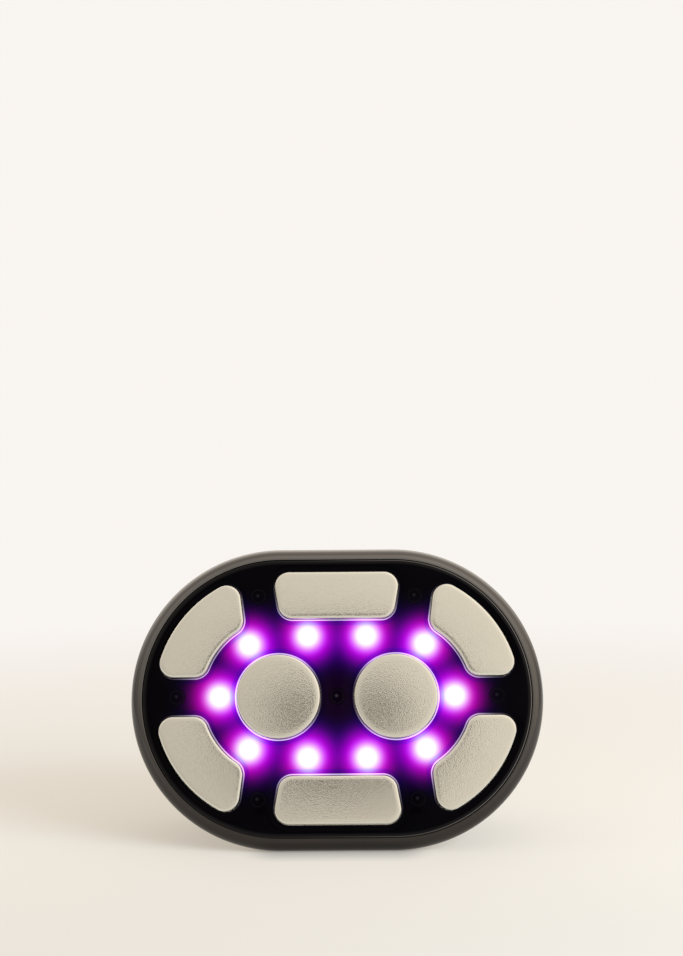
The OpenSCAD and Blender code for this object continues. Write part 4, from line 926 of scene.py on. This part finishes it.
def electrode(kind, name, flip_u, flip_v):
    """A whole electrode of a kind, mirrored across the face where its place needs it."""
    outline = outlines[kind]
    under, top = FLANGE_UNDER_T, FLANGE_T
    foot = ((UNDER_INSET, under), (-FLANGE_W, under), (-FLANGE_W, top), (0, top))
    loops = [[(u, v, -depth) for u, v in outline(inset)] for inset, depth in foot]
    # The shoulder starts as a slight bevel and ends steeply, above an upright side.
    drops = [0]
    for i in range(SHOULDER_STEPS):
        past = max((i + 0.5) / SHOULDER_STEPS - EDGE_START, 0) / (1 - EDGE_START)
        slope = math.tan(math.radians(EDGE_FIRST + EDGE_TURN * past**EDGE_BEND))
        drops.append(drops[-1] + slope * PAD_SHOULDER / SHOULDER_STEPS)
    for i in range(SHOULDER_STEPS, -1, -1):
        rim = outline(PAD_SHOULDER * (1 - i / SHOULDER_STEPS))
        loops.append([(u, v, top_height(kind, u, v) - drops[i]) for u, v in rim])
    spine = [to_spine(kind, place) for place in rim]
    for i in range(1, CROWN_STEPS + 1):
        share = i / CROWN_STEPS
        mixed = [(u + (a - u) * share, v + (b - v) * share) for (u, v), (a, b) in zip(rim, spine)]
        loops.append([(u, v, top_height(kind, u, v)) for u, v in mixed])
    points = [(u * flip_u, v * flip_v, w) for loop in loops for u, v, w in loop]
    faces = bridge(loops) + [tuple(range(len(rim)))]
    return solid(name, points, faces, pad_metal, sharp=40)


places = [
    ("disc", "left_disc", -1, 1), ("disc", "right_disc", 1, 1),
    ("bar", "top_bar", 1, 1), ("bar", "bottom_bar", 1, -1),
    ("corner", "upper_left", -1, 1), ("corner", "upper_right", 1, 1),
    ("corner", "lower_left", -1, -1), ("corner", "lower_right", 1, -1),
]
for kind, name, flip_u, flip_v in places:
    pad = electrode(kind, "pad_" + name, flip_u, flip_v)
    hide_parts("electrode_" + name)
    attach(pad, "case")

# Face window
# One smoked plastic plate with a shallow collar and a polished edge round each electrode. Ten
# lights shine through it, and seven infrared ones show as dark lenses.
WINDOW_T = 2.4
PAD_GAP, LINE, COLLAR = 0.16, 0.38, 1.41
COLLAR_T, LINE_T = 0.15, 0.45
edge_section = (
    (PAD_GAP + LINE + COLLAR, 0), (PAD_GAP + LINE, COLLAR_T), (PAD_GAP, LINE_T), (PAD_GAP, WINDOW_T)
)
plate_edge = ((EDGE, 0), mid_edge, (0, EDGE), (0, WINDOW_T))
outer = [stadium_loop(WINDOW_R - inset, t) for inset, t in plate_edge]
drilled = [
    [[(u * flip_u, v * flip_v, -t) for u, v in outlines[kind](-grow)] for grow, t in edge_section]
    for kind, _, flip_u, flip_v in places
]
points, faces = drilled_plate(outer, drilled)

# A lamp's glow behind the window: a white heart, then violet, and magenta on the outer side.
# Each colour of the glow has its gain, its reach in millimetres and how sharply it ends there.
GLOWS = {
    "Red": (1.12, 6.1, 2.7), "Green": (1.54, 3.33, 3.0), "Blue": (1.75, 5.65, 2.1), "Wide": (1.0, 8.0, 2.0)
}
BLUE_INWARD = 0.975
glow, enter, leave = fine_group(
    "lamp_glow", [("Place", "Vector"), ("Lamp", "Vector")], [(label, "Float") for label in GLOWS]
)
distance = vector_node(glow, "DISTANCE", enter.outputs["Place"], enter.outputs["Lamp"])
inward = vector_node(glow, "SCALE", enter.outputs["Lamp"], scale=BLUE_INWARD)
blue_distance = vector_node(glow, "DISTANCE", enter.outputs["Place"], inward)
for label, (gain, reach, power) in GLOWS.items():
    share = math_node(glow, "DIVIDE", blue_distance if label == "Blue" else distance, reach)
    fall = product(glow, math_node(glow, "POWER", share, power), -1.0)
    glow.links.new(product(glow, math_node(glow, "EXPONENT", fall), gain), leave.inputs[label])

window_smoke, tree, skin = new_finish("window_smoke")
(across, up, out), from_middle = face_measures(tree)
own = named_nodes(tree, flat="CombineXYZ", colour="CombineColor", smoke="Group")
tree.links.new(across, own["flat"].inputs["X"])
tree.links.new(up, own["flat"].inputs["Y"])
flat = own["flat"].outputs["Vector"]

# The ten lamps stand round the face on a track inside the ring of electrodes.
LAMP_TRACK, LAMP_U, LAMP_TURN = RING_IN - 5.0, 8.5, math.radians(59)
slanted = (HALF + LAMP_TRACK * math.cos(LAMP_TURN), LAMP_TRACK * math.sin(LAMP_TURN))
quarter = ((LAMP_U, LAMP_TRACK), slanted)
lamps = [(u * a, v * b) for u, v in quarter for a in (-1, 1) for b in (-1, 1)]
lamps += [(-HALF - LAMP_TRACK, 0), (HALF + LAMP_TRACK, 0)]
lit = dict.fromkeys(GLOWS, 0.0)
for u, v in lamps:
    lamp = tree.nodes.new("ShaderNodeGroup")
    lamp.node_tree = glow
    lamp.inputs["Lamp"].default_value = (u, v, 0)
    tree.links.new(flat, lamp.inputs["Place"])
    for label in GLOWS:
        lit[label] = math_node(tree, "ADD", lit[label], lamp.outputs[label])

# The infrared lenses are dark discs, each with a painted highlight: a faint ring and a glint a little
# off its middle.
DARK_END, DARK_U, DARK_V = 46.35, 22.88, 29.2
LENS_SHADE = (2.3, 2.7, 0.35, 1.0)
RING_RISE, RING_FALL = (1.6, 1.9, 0.0, 0.003), (1.9, 2.3, 0.0, 0.003)
GLINT_OFF, GLINT_IN, GLINT_OUT = 0.2, 0.1, 0.7
# Brightness of the painted highlights on the infrared lenses.
PAINTED_GLINT_MIDDLE, PAINTED_GLINT_OTHERS = 0.035, 0.012
infrared = [(0, 0), (-DARK_END, 0), (DARK_END, 0)]
infrared += [(a * DARK_U, b * DARK_V) for a in (-1, 1) for b in (-1, 1)]
shade, painted_glint = 1.0, 0.0
for u, v in infrared:
    bright = PAINTED_GLINT_MIDDLE if u == 0 else PAINTED_GLINT_OTHERS
    away = vector_node(tree, "DISTANCE", flat, (u, v, 0))
    beside = vector_node(tree, "DISTANCE", flat, (u - GLINT_OFF, v + GLINT_OFF, 0))
    rise, fall = smooth_step(tree, away, *RING_RISE), smooth_step(tree, away, *RING_FALL)
    painted_glint = math_node(tree, "ADD", painted_glint, math_node(tree, "SUBTRACT", rise, fall))
    painted_glint = math_node(tree, "ADD", painted_glint, smooth_step(tree, beside, GLINT_IN, GLINT_OUT, bright, 0.0))
    shade = product(tree, shade, smooth_step(tree, away, *LENS_SHADE))

# The collar and the polished line round an electrode are told by how far they are sunk.
COLLAR_ENDS = (0.0, 0.02), (COLLAR_T, COLLAR_T + 0.02, 1.0, 0.0)
LINE_ENDS = (COLLAR_T, COLLAR_T + 0.05), (LINE_T - 0.03, LINE_T + 0.07, 1.0, 0.0)
INNER_HAZE = (14.0, 30.0, 1.0, 0.0)
GLOW_TOP = 2.5
# The last gain of each colour is for the painted highlights on the infrared lenses.
GAINS = {
    "Red": {"haze": 0.015, "inner": 0.0045, "collar": -0.3, "rim": 0.0, "line": 1.22, "painted_glint": 1.0},
    "Green": {"haze": 0.0, "inner": 0.0, "collar": 0.0, "rim": 0.0, "line": 1.05, "painted_glint": 0.8},
    "Blue": {"haze": 0.03, "inner": 0.008, "collar": 0.0, "rim": 0.03, "line": 1.5, "painted_glint": 1.0},
}
sunk = product(tree, out, -1.0)
collar = product(tree, *[smooth_step(tree, sunk, *limits) for limits in COLLAR_ENDS])
line_start, line_end = [smooth_step(tree, sunk, *limits) for limits in LINE_ENDS]
line = product(tree, line_start, line_end)
shade = product(tree, shade, line_end)
inside = smooth_step(tree, from_middle, *INNER_HAZE)
for label, gain in GAINS.items():
    value = math_node(tree, "MULTIPLY_ADD", lit["Wide"], gain["haze"], lit[label])
    value = math_node(tree, "MULTIPLY_ADD", inside, gain["inner"], value)
    value = product(tree, value, shade, math_node(tree, "MULTIPLY_ADD", collar, gain["collar"], 1.0))
    for mask, part in ((collar, "rim"), (line, "line")):
        value = math_node(tree, "ADD", value, product(tree, mask, gain[part], lit["Wide"]))
    value = math_node(tree, "MULTIPLY_ADD", painted_glint, gain["painted_glint"], value)
    tree.links.new(math_node(tree, "MINIMUM", value, GLOW_TOP), own["colour"].inputs[label])
tree.links.new(own["colour"].outputs["Color"], skin.inputs["Emission Color"])

# The smoked plastic is nearly black. A painted highlight lies in the coat on its edge by the bezel,
# strongest to the right, and a faint painted sheen lies just inside that edge.
SMOKE, DEEP_SMOKE = (0.0005, 0.0003, 0.0007, 1), (0.0003, 0.0002, 0.0005, 1)
own["smoke"].node_tree = grain
set_inputs(own["smoke"], {"Size": 8, "Base": SMOKE, "Deep": DEEP_SMOKE, "Gloss": 0.09, "Spread": 0.04})
set_inputs(skin, {"Emission Strength": 1, "Specular IOR Level": 0.025})
set_inputs(skin, {"Coat IOR": 2.2, "Coat Roughness": 0.06})
# Painted highlight on the rim, strongest to the right, and a faint painted sheen inside it.
RIM_SHINE = (WINDOW_R - 0.36, WINDOW_R - 0.26)
RIM_TO_RIGHT = (-20.0, 55.0, 0.15, 1.0)
NEAR_RIM = (WINDOW_R - 1.4, WINDOW_R - 0.6, 0.0, 0.07)
painted_rim_highlight = smooth_step(tree, from_middle, *RIM_SHINE)
painted_rim_highlight = product(tree, painted_rim_highlight, smooth_step(tree, across, *RIM_TO_RIGHT))
painted_rim_highlight = math_node(tree, "MAXIMUM", painted_rim_highlight, smooth_step(tree, from_middle, *NEAR_RIM))
tree.links.new(painted_rim_highlight, skin.inputs["Coat Weight"])
tree.links.new(own["smoke"].outputs["Color"], skin.inputs["Base Color"])
tree.links.new(own["smoke"].outputs["Roughness"], skin.inputs["Roughness"])
window = solid("smoked_window", points, faces, window_smoke)
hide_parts("face_window")
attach(window, "case")

# Electrode carrier
# A white moulded carrier with reflector cups behind the window. Dark grey silicone seals close
# the window and the electrodes, and steel screws hold the electrodes to it.
silicone_grey = grained("silicone_grey", (0.05, 0.048, 0.055), (0.035, 0.034, 0.04), 0.6)
white_mould = grained("white_mould", (0.80, 0.78, 0.80), (0.72, 0.70, 0.73), 0.45, size=0.5)
screw_steel = grained(
    "screw_steel", (0.58, 0.58, 0.60), (0.42, 0.42, 0.44), 0.3, size=0.3, Metallic=1.0
)


def dress(finish, *names):
    """Gives the solids that stay as they are their finish."""
    for name in names:
        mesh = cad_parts[name].data
        mesh.materials.clear()
        mesh.materials.append(finish)


dress(silicone_grey, "window_gasket", "electrode_seals")
dress(white_mould, "electrode_carrier")
dress(screw_steel, "electrode_screws")

# Light board
# A white board with ten clear lights, seven dark infrared ones and black small parts. Gold pins
# touch the electrodes, two black sensors feel their heat, and a film ribbon leads backwards.
epoxy_black = grained("epoxy_black", (0.022, 0.022, 0.024), (0.014, 0.014, 0.016), 0.55, size=0.2)
ribbon_film = grained("ribbon_film", (0.66, 0.62, 0.55), (0.58, 0.54, 0.47), 0.4, size=0.6)
dress(grained("white_mask", (0.82, 0.82, 0.80), (0.74, 0.74, 0.71), 0.4, size=0.8), "led_board")
dress(grained("lit_dome", (0.93, 0.86, 1.0), (0.85, 0.78, 1.0), 0.2, size=0.6), "lit_lights")
dress(grained("dark_dome", (0.03, 0.02, 0.035), (0.02, 0.015, 0.025), 0.15, size=0.6), "infrared_lights")
dress(epoxy_black, "led_board_parts", "temperature_sensors")
dress(contact_gold, "contact_pins")
dress(ribbon_film, "led_ribbon")

# Main board
# A green board on a grey moulded frame, both held by steel screws. It carries black chips and a
# buzzer, sleeved capacitors and the transformer, with a ferrite core and a copper winding.
grey_mould = grained("grey_mould", (0.06, 0.06, 0.065), (0.04, 0.04, 0.045), 0.5, size=0.5)
green_mask = grained("green_mask", (0.02, 0.11, 0.05), (0.012, 0.075, 0.03), 0.35, size=0.8)
enamel_copper = grained(
    "enamel_copper", (0.68, 0.30, 0.12), (0.50, 0.20, 0.07), 0.3, size=0.35, bump=0.6, Metallic=1.0
)
dress(grey_mould, "mid_frame")
dress(screw_steel, "mid_frame_screws", "board_screws")
dress(green_mask, "main_board")
dress(epoxy_black, "main_board_chips", "buzzer")
dress(grained("can_sleeve", (0.06, 0.07, 0.11), (0.04, 0.05, 0.08), 0.3, size=0.6), "main_board_capacitors")
dress(grained("ferrite", (0.05, 0.05, 0.055), (0.035, 0.033, 0.036), 0.65, size=0.3), "transformer_core")
dress(enamel_copper, "transformer_winding")
dress(ribbon_film, "control_ribbon")

# Battery and motor
# Two blue sleeved cells with steel links in a grey moulded tray, on a foam pad, with a green
# protection board and red wires. The motor is a steel can with a turning weight, in a rubber boot.
dress(grey_mould, "battery_tray")
dress(silicone_grey, "battery_foam", "motor_boot")
dress(grained("cell_sleeve", (0.05, 0.16, 0.46), (0.035, 0.12, 0.36), 0.25, size=1.0), "battery_cells")
dress(screw_steel, "cell_links", "vibration_motor", "motor_rotor")
dress(green_mask, "protection_board")
dress(grained("red_wire", (0.45, 0.03, 0.02), (0.33, 0.02, 0.015), 0.4, size=0.5), "battery_wires")

# Back boards
# Two green boards, one with the switches under the buttons and one behind the charging socket,
# with its black wires. Each button pushes its switch by a white plunger. Screws close the case.
dress(green_mask, "charge_board", "control_board")
dress(epoxy_black, "switches")
dress(white_mould, *[name + "_plunger" for name in middles])
dress(grained("black_wire", (0.03, 0.03, 0.03), (0.02, 0.02, 0.02), 0.4, size=0.5), "charge_wires")
dress(screw_steel, "housing_screws")
